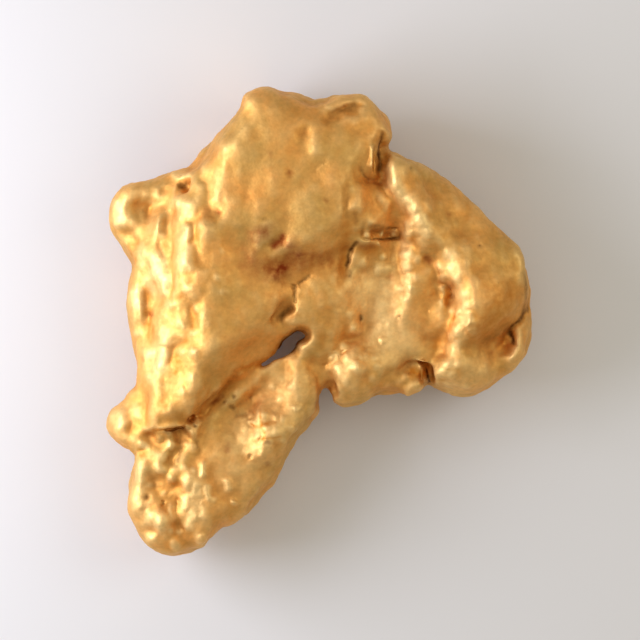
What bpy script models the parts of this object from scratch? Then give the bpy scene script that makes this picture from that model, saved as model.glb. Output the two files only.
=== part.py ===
"""A water-worn gold nugget, one solid lump of native gold lying on its flatter side.

The lump is modelled as it grew and wore: rounded lobes run into each other, the
seams between them are softened, faces are rubbed flat, and then swells, dents,
creases and pits are worked into the upper and the lower side. The lobes are laid
out in millimetres, in plan from above, with heights measured up from the surface
that the nugget lies on. The finished skin is scaled to metres once.
"""

import math

import bmesh
import bpy
import numpy as np
from mathutils import Vector, noise

# Driving sizes, in millimetres.
LENGTH = 23.5
WIDTH = 21.25
WORN_FLAT = 0.3  # how much the bosses it lies on have been rubbed flat
SKIN_CELL = 0.15  # size of the cells that melt the lobes into one skin
SKIN_SOFTENING = 9  # passes that round the seams between lobes
SKIN_GROWTH = 0.06  # gives back what the softening takes off
SKIN_TRIANGLES = 9400
LUMP_SIZE = 1.9  # from one worn lump to the next
LUMP_RISE = 0.22
GRAIN_SIZE = 0.9  # the smaller lumps on top of those
GRAIN_RISE = 0.08
WANDER_SIZE = 0.8  # how far apart the bends of a crease or a ledge are
WANDER = 0.24
UNDER_LUMP_SIZE = 3.4  # the sides and the underside are left rougher than the worn top
UNDER_LUMP_RISE = 0.9
BELLY = 0.78  # how round the undersides are: 0.5 is flat, 1 an ellipsoid

MM = 0.001
OUTLINE_STEPS = 6  # points drawn between two given points of an outline
RINGS = 14  # rings from a lobe's rim to its pole

GOLD = (0.86, 0.56, 0.20, 1.0)

# Each lobe: its outline in plan, the plan position of its crown, the heights of its
# underside, rim and top, and its form: 0.5 is full and flat-topped, 1 an ellipsoid.
LOBES = {
    "body": dict(
        outline=[
            (-3.5, 11.7), (-3.8, 11.3), (-4.2, 10.7), (-4.6, 9.7), (-5.3, 9.2),
            (-5.9, 8.5), (-6.4, 7.8), (-7.5, 6.9), (-8.5, 5.4), (-9.2, 3.8),
            (-9.4, 2.6), (-9.7, 1.2), (-9.8, 0.6), (-9.5, -0.7), (-9.2, -2.4),
            (-9.3, -3.3), (-9.2, -4.5), (-8.8, -5.7), (-8.0, -6.1), (-6.9, -5.9),
            (-6.1, -5.1), (-5.2, -4.0), (-4.1, -3.0), (-2.9, -2.2), (-2.3, -1.5),
            (-1.7, -0.6), (-1.2, 0.2), (-0.7, 1.6), (-0.2, 3.0), (1.0, 3.8),
            (1.3, 5.3), (1.7, 6.6), (2.6, 7.6), (2.9, 8.6), (2.6, 9.8), (1.4, 10.4),
            (0.2, 10.8), (-1.0, 11.3), (-2.3, 11.8),
        ],
        pole=(-4.3, 3.4), heights=(-0.1, 3.2, 7.0), form=0.68,
    ),
    "crown": dict(
        outline=[
            (-3.6, 11.6), (-2.4, 11.7), (-1.3, 11.3), (-0.1, 10.8), (1.2, 10.4),
            (2.3, 10.0), (2.9, 9.2), (2.8, 7.9), (2.3, 6.9), (2.0, 5.6), (1.6, 4.2),
            (0.6, 3.0), (-1.8, 2.2), (-3.8, 2.8), (-5.3, 4.4), (-5.8, 6.6),
            (-5.2, 9.0), (-4.2, 10.9),
        ],
        pole=(-1.2, 7.2), heights=(-0.1, 4.4, 7.2), form=0.5,
    ),
    "brow": dict(
        outline=[
            (-0.4, 10.2), (0.1, 11.0), (0.8, 11.3), (1.5, 11.4), (2.1, 11.3),
            (2.6, 10.9), (3.1, 10.3), (3.45, 9.8), (3.6, 9.3), (3.35, 8.95), (3.1, 8.6),
            (3.05, 7.7), (2.7, 7.0), (1.8, 6.8), (0.6, 7.4), (-0.2, 8.6),
        ],
        pole=(1.6, 9.0), heights=(0.9, 4.2, 6.8), form=0.45,
    ),
    "horn": dict(
        outline=[
            (-10.6, 5.7), (-10.4, 6.3), (-10.0, 6.8), (-9.3, 7.0), (-8.3, 7.2),
            (-7.4, 7.6), (-6.6, 7.8), (-6.0, 7.1), (-6.3, 5.3), (-7.5, 4.1),
            (-8.8, 3.2), (-9.5, 3.3), (-10.0, 3.9), (-10.4, 4.7),
        ],
        pole=(-8.6, 5.5), heights=(1.0, 2.8, 4.5), form=0.62,
    ),
    "spur": dict(
        outline=[
            (-10.6, -5.3), (-10.5, -4.6), (-10.1, -4.2), (-9.5, -3.7), (-8.9, -3.4),
            (-7.8, -3.2), (-7.2, -4.6), (-7.8, -6.2), (-9.1, -6.5), (-9.8, -6.3),
            (-10.3, -5.9),
        ],
        pole=(-8.6, -4.8), heights=(1.0, 2.8, 4.7), form=0.75,
    ),
    "leg": dict(
        outline=[
            (0.1, -2.8), (-0.1, -3.7), (-0.3, -4.5), (-0.5, -5.1), (-0.9, -5.6),
            (-1.4, -6.3), (-1.8, -6.9), (-2.1, -7.5), (-2.3, -8.1), (-2.9, -8.6),
            (-3.4, -9.2), (-4.0, -9.8), (-4.8, -10.4), (-5.5, -11.0), (-6.4, -11.5),
            (-7.5, -11.7), (-8.4, -11.4), (-9.0, -10.8), (-9.5, -10.0), (-9.7, -9.2),
            (-9.7, -8.3), (-9.5, -7.7), (-9.2, -6.9), (-8.5, -5.9), (-7.0, -4.7),
            (-4.8, -3.2), (-2.9, -1.5), (-1.5, -0.8), (-0.3, -0.6),
        ],
        pole=(-5.0, -6.6), heights=(-0.1, 2.2, 4.7), form=0.5,
    ),
    "shin": dict(
        outline=[
            (-5.4, -4.6), (-3.4, -2.2), (-1.8, -0.7), (-0.4, -0.9), (0.05, -2.6),
            (-0.2, -4.3), (-1.0, -5.6), (-2.0, -6.9), (-3.4, -8.0), (-5.0, -7.0),
        ],
        pole=(-2.2, -4.4), heights=(0.8, 2.4, 5.0), form=0.55,
    ),
    "saddle": dict(
        outline=[
            (-2.0, 3.2), (0.0, 3.6), (1.5, 4.0), (2.8, 3.6), (3.2, 2.0), (3.0, 0.1),
            (2.0, -1.5), (0.9, -2.6), (0.1, -3.1), (-0.9, -2.6), (-1.8, -1.8),
            (-2.6, -1.0), (-2.6, 1.2),
        ],
        pole=(0.2, 0.4), heights=(0.8, 3.3, 4.6), form=0.4,
    ),
    "fall": dict(
        outline=[
            (-4.8, 3.5), (-2.0, 4.8), (0.8, 5.2), (2.3, 4.6), (3.2, 3.2), (3.4, 1.6),
            (2.8, 0.1), (1.7, -1.2), (0.6, -2.2), (-0.3, -2.4), (-1.0, -1.6),
            (-1.8, -0.9), (-2.9, -1.0), (-4.6, 0.4),
        ],
        pole=(-1.9, 2.6), heights=(0.8, 3.7, 6.6), form=1.2,
    ),
    "neck": dict(
        outline=[
            (1.0, 7.4), (2.2, 8.2), (2.9, 8.1), (3.5, 7.4), (3.8, 6.6), (3.8, 5.4),
            (3.6, 4.2), (3.1, 3.0), (2.0, 2.4), (0.6, 3.4), (0.4, 5.6),
        ],
        pole=(1.1, 5.8), heights=(0.9, 4.0, 6.7), form=0.9,
    ),
    "gusset": dict(
        outline=[
            (2.4, 8.8), (3.2, 8.8), (3.9, 8.45), (4.9, 7.9), (5.6, 6.9), (5.6, 5.6),
            (4.8, 4.4), (3.8, 4.4), (2.8, 5.2), (2.4, 6.4), (2.3, 8.0),
        ],
        pole=(4.5, 7.0), heights=(2.0, 4.5, 5.6), form=0.7,
    ),
    "palm": dict(
        outline=[
            (0.8, 2.1), (1.0, 3.8), (2.0, 5.6), (2.7, 7.1), (2.9, 8.5), (3.6, 8.5),
            (4.2, 8.3), (5.0, 7.9), (5.8, 7.4), (6.5, 6.8), (7.1, 6.2), (7.9, 5.6),
            (8.7, 4.9), (9.5, 4.2), (10.0, 3.6), (10.3, 2.8), (10.4, 2.0),
            (10.5, 1.1), (10.5, 0.1), (10.0, -0.9), (9.4, -2.0), (8.7, -3.0),
            (7.9, -3.5), (6.9, -3.6), (6.1, -3.3), (5.4, -3.1), (4.7, -3.4),
            (4.0, -3.6), (3.0, -3.7), (2.0, -4.0), (1.1, -4.2), (0.7, -3.9),
            (0.5, -3.2), (0.2, -2.2), (0.2, -0.4),
        ],
        pole=(5.0, 1.8), heights=(-0.1, 2.2, 4.7), form=0.42,
    ),
    "dome": dict(
        outline=[
            (5.8, 3.6), (6.5, 4.9), (7.6, 5.5), (9.0, 4.8), (9.8, 4.0), (10.2, 3.2),
            (10.4, 2.1), (10.3, 1.1), (9.9, 0.2), (9.1, -0.6), (8.2, -1.3),
            (7.2, -1.4), (6.7, -0.9), (6.9, 0.4), (6.7, 1.5), (6.1, 2.5),
        ],
        pole=(8.2, 2.2), heights=(0.9, 3.0, 5.7), form=0.62,
    ),
    "shoulder": dict(
        outline=[
            (3.1, 8.6), (3.9, 8.4), (4.7, 8.1), (5.4, 7.6), (6.5, 6.8), (7.3, 6.1),
            (8.4, 5.2), (9.2, 4.5), (9.2, 3.0), (7.9, 2.0), (6.6, 2.2), (5.9, 3.4),
            (5.1, 4.3), (4.6, 5.3), (3.9, 6.0), (3.2, 6.9),
        ],
        pole=(6.0, 5.4), heights=(1.2, 3.4, 5.3), form=0.6,
    ),
    "heel": dict(
        outline=[
            (0.4, -1.5), (1.2, -0.3), (2.6, -0.3), (3.9, -1.2), (4.6, -2.3),
            (4.0, -3.4), (2.8, -3.8), (1.6, -4.2), (0.8, -4.0), (0.5, -3.2),
        ],
        pole=(2.2, -2.2), heights=(0.5, 2.3, 5.0), form=0.65,
    ),
    "cuff": dict(
        outline=[
            (5.4, -2.8), (5.7, -1.8), (6.3, -1.0), (7.7, -0.7), (8.9, -1.0),
            (9.3, -2.1), (8.8, -2.9), (8.0, -3.5), (7.0, -3.6), (6.1, -3.4),
        ],
        pole=(7.1, -2.0), heights=(0.6, 2.3, 4.9), form=0.65,
    ),
    "ear": dict(
        outline=[
            (10.6, 0.2), (10.7, -0.7), (10.5, -1.4), (10.0, -2.0), (9.5, -2.6),
            (8.9, -2.9), (8.5, -2.3), (8.9, -1.5), (9.3, -0.9), (9.6, -0.3),
            (10.0, 0.3),
        ],
        pole=(9.7, -1.3), heights=(1.0, 2.5, 4.2), form=0.75,
    ),
}

# The slit that goes right through, between the flank, the leg and the saddle.
SLIT = [
    (-3.5, -2.42), (-2.7, -1.7), (-2.05, -1.1), (-1.68, -0.5), (-1.25, -0.22), (-0.62, -0.28),
    (-0.35, -0.64), (-0.7, -1.12), (-1.15, -1.55), (-1.95, -2.05), (-2.75, -2.48),
]

# Faces rubbed flat: a point on the face, its outward direction, how far from the
# point it reaches, and how softly it meets the rest.
FACETS = [
    ((-7.7, 0.2, 4.75), (-0.66, -0.02, 0.75), 7.5, 0.7),  # the long slope of the flank
    ((-6.1, 6.7, 5.7), (-0.58, 0.16, 0.80), 3.2, 0.35),  # the same slope, up to the crown
    ((-3.4, -0.4, 6.3), (0.26, -0.12, 0.95), 5.0, 0.6),  # the flank's inner side
    ((-1.0, 7.6, 7.0), (0.03, 0.04, 0.99), 4.5, 0.25),  # top of the crown
    ((8.5, 2.0, 5.45), (0.10, -0.06, 0.99), 2.8, 0.4),  # top of the dome
    ((-4.1, -2.8, 4.9), (0.48, -0.48, 0.73), 3.6, 0.2),  # where the flank rolls over the leg
]

# Strokes on the upper side: a path in plan, the half-widths to the left and to the
# right of it as it is walked, and how far it rises (a negative rise sinks in).
UPPER = {
    # flank: upright flutes on the slope
    "flute rib": ([(-7.1, 0.0), (-6.9, 1.5), (-6.8, 3.2), (-6.7, 6.0)], (0.45, 0.45), 0.24),
    "flute hollow": ([(-7.4, 1.9), (-7.6, 4.0), (-7.7, 5.9)], (0.32, 0.32), -0.28),
    "outer rib": ([(-8.0, 1.4), (-8.2, 3.0), (-8.5, 4.0), (-8.2, 5.4)], (0.35, 0.35), 0.16),
    "low hollow": ([(-8.7, -0.7), (-8.5, 0.5), (-8.7, 1.8)], (0.4, 0.4), -0.26),
    "lower hollow": ([(-7.4, -2.8), (-7.3, -1.4)], (0.35, 0.35), -0.16),
    "rim swell": ([(-9.2, 0.4), (-9.2, 1.7)], (0.3, 0.3), 0.15),
    "crest notch": ([(-6.3, 4.0), (-6.2, 4.6)], (0.28, 0.28), -0.2),
    "crest knob": ([(-5.8, 4.0), (-5.7, 4.9)], (0.35, 0.35), 0.15),
    # the slope up to the crown
    "upper hollow": ([(-5.5, 5.9), (-5.4, 7.3)], (0.4, 0.4), -0.18),
    "upper rib": ([(-4.3, 5.7), (-4.7, 6.3), (-4.8, 7.5), (-4.6, 8.7)], (0.4, 0.4), 0.16),
    "upper knob": ([(-6.2, 6.2), (-6.2, 6.9)], (0.35, 0.35), 0.2),
    "rust dent": ([(-5.3, 5.4), (-5.0, 5.4)], (0.3, 0.3), -0.26),
    # crown
    "crown swell": ([(-0.6, 8.0), (-0.4, 8.8), (-0.5, 9.7)], (0.6, 0.45), 0.2),
    "crown dent": ([(-1.0, 9.2), (-0.8, 9.6)], (0.3, 0.3), -0.2),
    "crown vale": ([(-1.0, 7.8), (-1.9, 6.2), (-1.7, 5.3)], (0.8, 0.8), -0.14),
    "crown pit": ([(-2.4, 3.8), (-1.9, 4.1)], (0.3, 0.3), -0.3),
    "rust valley": (
        [(-4.0, 3.1), (-2.9, 2.7), (-1.9, 2.5), (-0.9, 2.7), (0.1, 3.0), (1.1, 3.6)],
        (1.2, 1.0), -0.34,
    ),
    "saddle line": ([(-1.0, 2.0), (-0.4, 2.4)], (0.25, 0.25), -0.22),
    "saddle crease": ([(-1.3, 1.1), (-1.35, 2.0)], (0.3, 0.3), -0.22),
    "saddle pit": ([(-2.1, -0.1), (-1.55, 0.8)], (0.24, 0.24), -0.5),
    # brow and the seam down to the neck
    "brow groove": ([(0.4, 10.3), (1.2, 10.7), (2.0, 10.9)], (0.25, 0.25), -0.32),
    "brow slit": ([(3.2, 9.2), (3.15, 8.4), (3.0, 7.5)], (0.2, 0.2), -0.3),
    "brow fold": ([(2.0, 7.8), (2.1, 7.3), (2.6, 7.05)], (0.25, 0.25), -0.15),
    "crown edge": ([(1.7, 6.8), (1.5, 5.6), (1.5, 4.4)], (0.3, 0.3), -0.12),
    "neck swell": ([(1.9, 6.6), (1.6, 5.6)], (0.45, 0.45), 0.22),
    "neck crease": (
        [(1.85, 3.9), (1.5, 3.5), (1.3, 2.8), (1.4, 2.4), (1.3, 2.1)], (0.22, 0.3), -0.3,
    ),
    "neck pocket": ([(2.2, 4.4), (3.7, 4.45)], (0.25, 0.25), -0.5),
    "neck hollow": ([(1.8, 3.5), (2.9, 3.6)], (0.45, 0.45), -0.2),
    # palm: three ledges that face the flank
    "first ledge": (
        [(5.3, 3.9), (5.3, 4.7), (4.9, 5.5), (4.4, 6.1), (3.9, 6.7), (3.7, 7.9)],
        (0.42, 1.3), 0.42,
    ),
    "second ledge": (
        [(4.4, 0.9), (4.5, 1.8), (4.7, 2.6), (4.6, 3.4), (4.6, 4.9)], (0.4, 1.2), 0.42,
    ),
    "third ledge": (
        [
            (7.1, -1.4), (7.0, -0.7), (7.6, 0.0), (7.6, 1.1), (7.3, 1.8), (6.9, 2.7),
            (6.7, 3.6),
        ],
        (0.5, 1.5), 0.4,
    ),
    "ledge dent": ([(5.4, 3.1), (5.4, 3.5)], (0.35, 0.35), -0.4),
    "ledge pit": ([(6.6, 1.1), (6.6, 1.4)], (0.22, 0.22), -0.3),
    "ledge knob": ([(6.0, 0.8), (5.95, 1.1)], (0.28, 0.28), 0.22),
    "palm hollow": ([(5.5, -0.9), (6.1, -1.5)], (0.5, 0.5), -0.4),
    "pocket": ([(4.7, -2.2), (5.1, -2.7)], (0.42, 0.42), -1.1),
    "pocket shade": ([(3.2, -3.1), (4.4, -2.0)], (0.4, 0.4), -0.3),
    "pocket lip": ([(4.2, -3.35), (5.2, -3.05)], (0.2, 0.2), 0.3),
    "pocket slit": ([(5.35, -3.4), (5.4, -2.4)], (0.2, 0.2), -1.5),
    "palm knob": ([(1.6, -0.3), (1.65, -0.15)], (0.35, 0.35), 0.3),
    "heel swell": ([(1.6, -2.5), (1.9, -1.7)], (0.5, 0.5), 0.25),
    "heel knob": ([(0.8, -2.2), (0.9, -2.0)], (0.28, 0.28), 0.16),
    "heel corner": ([(0.85, -3.4), (0.9, -3.2)], (0.28, 0.28), 0.16),
    "cuff knob": ([(6.3, -2.2), (6.4, -2.0)], (0.4, 0.4), 0.28),
    "cuff corner": ([(5.7, -2.8), (5.8, -2.7)], (0.25, 0.25), 0.28),
    "dome foot": ([(7.6, -1.5), (8.7, -1.5), (9.2, -0.9), (9.6, -0.2)], (0.5, 0.5), -0.14),
    "ear pit": ([(9.4, -0.6), (9.55, -1.2)], (0.2, 0.2), -0.6),
    "ear rib": ([(10.0, -0.2), (9.7, -1.2), (9.2, -2.0)], (0.25, 0.25), 0.16),
    # horn
    "horn scoop": ([(-9.2, 5.8), (-8.6, 5.6)], (0.5, 0.5), -0.34),
    "horn dent": ([(-9.5, 4.5), (-9.3, 4.1)], (0.35, 0.35), -0.3),
    "horn knob": ([(-7.2, 7.4), (-6.9, 7.4)], (0.35, 0.35), 0.25),
    "horn pit": ([(-6.9, 6.9), (-6.7, 6.9)], (0.25, 0.25), -0.7),
    "horn seam": ([(-8.3, 6.1), (-7.5, 6.5), (-6.7, 6.6)], (0.3, 0.3), -0.1),
    # spur and the hollow ground under the flank
    "spur crease": ([(-9.5, -5.0), (-9.8, -5.7)], (0.25, 0.25), -0.16),
    "spur seam": ([(-8.7, -3.9), (-8.9, -5.1), (-8.8, -5.9)], (0.3, 0.3), -0.22),
    "undercut": ([(-8.6, -5.85), (-7.8, -5.8), (-6.6, -5.8)], (0.28, 0.28), -0.5),
    "forked pit": ([(-6.95, -5.9), (-7.4, -7.0)], (0.25, 0.25), -0.5),
    "corner pit": ([(-6.3, -5.15), (-6.25, -5.05)], (0.22, 0.22), -0.7),
    "flank seam": (
        [(-6.0, -4.7), (-5.3, -4.0), (-4.5, -3.3), (-3.6, -2.7), (-2.6, -2.0)],
        (0.22, 0.22), -0.22,
    ),
    "small knob": ([(-7.6, -6.2), (-7.6, -6.1)], (0.24, 0.24), 0.3),
    "side knob": ([(-8.2, -7.2), (-8.3, -6.7)], (0.3, 0.3), 0.2),
    "side rib": ([(-8.9, -7.8), (-8.9, -7.0)], (0.25, 0.25), 0.2),
    "leg hollow": ([(-8.5, -7.9), (-7.9, -8.9)], (0.6, 0.6), -0.4),
    # leg
    "leg ledge": (
        [(-6.0, -10.7), (-5.9, -9.4), (-6.0, -7.9), (-5.8, -7.3)], (0.38, 0.9), 0.3,
    ),
    "shin ledge": ([(-2.9, -6.4), (-2.6, -5.4), (-2.9, -4.5)], (0.32, 0.8), 0.3),
    "shin knob": ([(-2.0, -5.9), (-2.0, -5.2)], (0.28, 0.6), 0.22),
    "shin rib": ([(-1.2, -1.9), (-1.3, -2.9), (-1.4, -3.7)], (0.22, 0.22), 0.18),
    "toe knob": ([(-8.1, -10.1), (-8.1, -9.9)], (0.35, 0.35), 0.26),
    "toe corner": ([(-8.5, -11.0), (-8.5, -10.8)], (0.3, 0.3), 0.16),
    "toe crease": ([(-7.2, -10.5), (-7.3, -9.2)], (0.2, 0.2), -0.28),
}

# Dimples knocked into the sides, low down: their centre, radius and depth.
DIMPLES = [
    ((9.9, 3.6, 1.2), 1.9, 0.5), ((8.0, 6.0, 1.0), 1.8, 0.55), ((5.0, 8.0, 1.4), 1.5, 0.45),
    ((10.6, -0.6, 1.0), 1.4, 0.4), ((7.4, -3.7, 1.2), 1.5, 0.45), ((2.6, -4.1, 1.1), 1.6, 0.45),
    ((-0.6, 11.2, 2.2), 1.8, 0.5), ((-4.2, 11.0, 1.6), 1.5, 0.45), ((-6.4, 8.2, 1.6), 1.6, 0.5),
    ((-10.0, 1.2, 1.2), 1.9, 0.5), ((-9.6, -3.0, 1.2), 1.5, 0.45), ((-9.8, -9.0, 1.0), 1.5, 0.45),
    ((-5.4, -11.4, 1.1), 1.7, 0.5), ((-2.4, -8.4, 1.2), 1.8, 0.5), ((-0.4, -4.8, 1.0), 1.4, 0.4),
]

# Strokes on the underside, written the same way.
UNDER = {
    "long hollow": ([(-7.0, -1.5), (-5.0, 0.5), (-3.0, 1.0)], (1.2, 0.9), -0.9),
    "crown hollow": ([(-1.2, 10.2), (-0.6, 9.0), (0.4, 8.2)], (0.9, 0.7), -0.6),
    "side hollow": ([(-8.0, 3.6), (-7.0, 5.4)], (0.7, 0.7), -0.5),
    "palm hollow": ([(2.6, 0.4), (4.0, -0.6), (5.6, -0.2)], (0.8, 1.0), -0.8),
    "dome hollow": ([(8.4, 3.4), (7.4, 4.6), (5.6, 5.6)], (0.7, 0.9), -0.6),
    "leg hollow": ([(-7.9, -9.6), (-7.4, -8.0), (-7.2, -6.6)], (0.6, 0.6), -0.5),
    "long crease": ([(0.6, -2.0), (0.9, 0.6), (1.2, 2.6), (2.2, 5.0)], (0.3, 0.45), -0.6),
    "cross crease": ([(-4.6, 3.0), (-2.6, 4.0), (-0.6, 4.2)], (0.25, 0.4), -0.45),
    "palm pit": ([(4.6, -2.4), (4.9, -2.2)], (0.4, 0.4), -0.7),
    "body pit": ([(-5.6, 6.0), (-5.2, 6.2)], (0.4, 0.4), -0.6),
    "leg pit": ([(-3.4, -5.2), (-3.1, -4.9)], (0.35, 0.35), -0.6),
    "palm knob": ([(3.4, 3.4), (4.2, 3.8)], (0.8, 0.8), 0.3),
    "palm boss": ([(6.6, 1.6), (7.2, 1.9)], (1.5, 1.5), 0.8),
    "crown boss": ([(-3.6, 7.6), (-3.0, 7.9)], (1.5, 1.5), 0.8),
    "leg boss": ([(-5.8, -8.2), (-5.3, -7.7)], (1.3, 1.3), 0.8),
}

# The three bosses it lies on, in plan.
BOSSES = [(6.9, 1.8), (-3.3, 7.8), (-5.6, -8.0)]
BOSS_REACH = 1.6


def closed_curve(points, steps):
    """A smooth closed curve through the points (Catmull-Rom), as an array of plan positions."""
    given = np.array(points, float)
    before, after, beyond = (np.roll(given, shift, axis=0) for shift in (1, -1, -2))
    drawn = []
    for t in np.linspace(0, 1, steps, endpoint=False):
        drawn.append(
            0.5
            * (
                2 * given
                + (after - before) * t
                + (2 * before - 5 * given + 4 * after - beyond) * t**2
                + (3 * given - before - 3 * after + beyond) * t**3
            )
        )
    return np.stack(drawn, axis=1).reshape(-1, 2)


def lobe(name, outline, pole, heights, form):
    """One rounded lobe: rings of its outline, drawn in towards the pole above and below the rim."""
    rim = closed_curve(outline, OUTLINE_STEPS)
    centre = np.array(pole)
    low, middle, high = heights
    shape = bmesh.new()
    rings = []
    for step in range(1 - RINGS, RINGS):
        angle = math.radians(90 * step / RINGS)
        fullness = form if angle > 0 else BELLY
        inward = math.cos(angle) ** fullness
        rise = math.copysign(abs(math.sin(angle)) ** fullness, angle)
        z = middle + rise * ((high - middle) if rise > 0 else (middle - low))
        plan = centre + (rim - centre) * inward
        rings.append([shape.verts.new((x, y, z)) for x, y in plan])
    for lower, upper in zip(rings, rings[1:]):
        for i in range(len(rim)):
            j = (i + 1) % len(rim)
            shape.faces.new((lower[i], lower[j], upper[j], upper[i]))
    for ring, z in ((rings[0], low), (rings[-1], high)):
        tip = shape.verts.new((*pole, z))
        for i in range(len(rim)):
            shape.faces.new((ring[i], ring[(i + 1) % len(rim)], tip))
    bmesh.ops.recalc_face_normals(shape, faces=shape.faces)
    mesh = bpy.data.meshes.new(name)
    shape.to_mesh(mesh)
    shape.free()
    return mesh


def new_object(name, mesh):
    made = bpy.data.objects.new(name, mesh)
    bpy.context.scene.collection.objects.link(made)
    return made


def joined_lobes():
    """All the lobes in one object, still passing through each other."""
    joined = bmesh.new()
    for name, form in LOBES.items():
        mesh = lobe(name, **form)
        joined.from_mesh(mesh)
        bpy.data.meshes.remove(mesh)
    mesh = bpy.data.meshes.new("nugget")
    joined.to_mesh(mesh)
    joined.free()
    return new_object("nugget", mesh)


def slit_cutter():
    """An upright prism that leaves the slit open from top to bottom."""
    rim = closed_curve(SLIT, OUTLINE_STEPS)
    shape = bmesh.new()
    low, high = ([shape.verts.new((x, y, z)) for x, y in rim] for z in (-2.0, 10.0))
    for i in range(len(rim)):
        j = (i + 1) % len(rim)
        shape.faces.new((low[i], low[j], high[j], high[i]))
    shape.faces.new(high)
    shape.faces.new(low[::-1])
    bmesh.ops.recalc_face_normals(shape, faces=shape.faces)
    mesh = bpy.data.meshes.new("slit")
    shape.to_mesh(mesh)
    shape.free()
    return new_object("slit", mesh)


def melt(lump):
    """Melts the lobes into one skin, opens the slit and softens every seam."""
    cutter = slit_cutter()
    for name in ("one skin", "even skin"):
        if name == "even skin":
            cut = lump.modifiers.new("slit", "BOOLEAN")
            cut.object = cutter
            cut.operation = "DIFFERENCE"
            cut.solver = "EXACT"
        remesh = lump.modifiers.new(name, "REMESH")
        remesh.mode = "VOXEL"
        remesh.voxel_size = SKIN_CELL
    smooth = lump.modifiers.new("softened seams", "SMOOTH")
    smooth.iterations = SKIN_SOFTENING
    apply_modifiers(lump)
    bpy.data.objects.remove(cutter)
    place(lump.data, positions(lump.data) + SKIN_GROWTH * outward(lump.data))


def apply_modifiers(lump):
    graph = bpy.context.evaluated_depsgraph_get()
    mesh = bpy.data.meshes.new_from_object(lump.evaluated_get(graph))
    lump.modifiers.clear()
    lump.data = mesh


def positions(mesh):
    points = np.empty(len(mesh.vertices) * 3)
    mesh.vertices.foreach_get("co", points)
    return points.reshape(-1, 3)


def outward(mesh):
    """The outward direction at every vertex."""
    found = np.empty(len(mesh.vertices) * 3)
    mesh.vertex_normals.foreach_get("vector", found)
    return found.reshape(-1, 3)


def place(mesh, points):
    mesh.vertices.foreach_set("co", points.ravel())
    mesh.update()


def eased(value):
    value = np.clip(value, 0, 1)
    return value * value * (3 - 2 * value)


def rub_flat(mesh):
    """Wears each facet: what stands above its plane is pressed down to it."""
    points = positions(mesh)
    for on_face, direction, reach, softness in FACETS:
        direction = np.array(direction) / np.linalg.norm(direction)
        offset = points - np.array(on_face)
        above = offset @ direction
        near = eased(2 - 2 * np.linalg.norm(offset, axis=1) / reach)
        kept = softness * (1 - np.exp(-np.maximum(above, 0) / softness))
        points -= np.outer(near * np.where(above > 0, above - kept, 0), direction)
    place(mesh, points)


def wandering(plan):
    """Plan positions pushed about a little, so that no stroke runs straight or even."""
    pushed = np.empty_like(plan)
    for i, (x, y) in enumerate(plan):
        place_in_noise = Vector((x, y, 0)) / WANDER_SIZE
        pushed[i, 0] = x + WANDER * noise.noise(place_in_noise)
        pushed[i, 1] = y + WANDER * noise.noise(place_in_noise + Vector((0, 0, 9)))
    return pushed


def stroke_depth(plan, path, widths, rise):
    """How far a stroke moves the skin at each plan position."""
    path = np.array(path, float)
    nearest = np.full(len(plan), np.inf)
    side = np.zeros(len(plan))
    for start, end in zip(path, path[1:]):
        along = end - start
        t = np.clip((plan - start) @ along / (along @ along), 0, 1)
        offset = plan - start - t[:, None] * along
        distance = np.linalg.norm(offset, axis=1)
        closer = distance < nearest
        nearest = np.where(closer, distance, nearest)
        side = np.where(closer, along[0] * offset[:, 1] - along[1] * offset[:, 0], side)
    width = np.where(side > 0, widths[0], widths[1])
    return rise * np.exp(-((nearest / width) ** 2))


def work_in(mesh, strokes, facing):
    """Works strokes into the upper side (facing 1) or the underside (facing -1) of the skin."""
    points = positions(mesh)
    direction = outward(mesh)
    plan = wandering(points[:, :2])
    reached = eased((facing * direction[:, 2] + 0.15) / 0.45)
    depth = np.zeros(len(points))
    for path, widths, rise in strokes.values():
        depth += stroke_depth(plan, path, widths, rise)
    place(mesh, points + direction * (depth * reached)[:, None])


def knock_in(mesh):
    """Knocks the dimples into the sides."""
    points = positions(mesh)
    direction = outward(mesh)
    depth = np.zeros(len(points))
    for centre, radius, sink in DIMPLES:
        away = np.linalg.norm(points - np.array(centre), axis=1)
        depth += sink * eased(1 - away / radius)
    place(mesh, points - direction * depth[:, None])


def roughen(mesh):
    """Gives the whole skin the soft unevenness of a piece rolled in gravel."""
    points = positions(mesh)
    direction = outward(mesh)
    under = eased(-direction[:, 2] / 0.8)
    rise = np.array(
        [
            LUMP_RISE * noise.noise(Vector(p) / LUMP_SIZE)
            + GRAIN_RISE * noise.noise(Vector(p) / GRAIN_SIZE)
            + UNDER_LUMP_RISE * u * noise.noise(Vector(p) / UNDER_LUMP_SIZE)
            for p, u in zip(points, under)
        ]
    )
    place(mesh, points + direction * rise[:, None])


def relax(lump):
    """Lets the worked-in strokes settle and brings the skin down to an even, lighter mesh."""
    clean = lump.modifiers.new("clean skin", "REMESH")
    clean.mode = "VOXEL"
    clean.voxel_size = SKIN_CELL
    settle = lump.modifiers.new("settled", "SMOOTH")
    settle.factor = 0.4
    settle.iterations = 2
    apply_modifiers(lump)
    lighter = lump.modifiers.new("lighter", "DECIMATE")
    lighter.ratio = SKIN_TRIANGLES / (2 * len(lump.data.vertices))
    lighter.use_collapse_triangulate = True
    apply_modifiers(lump)


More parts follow.
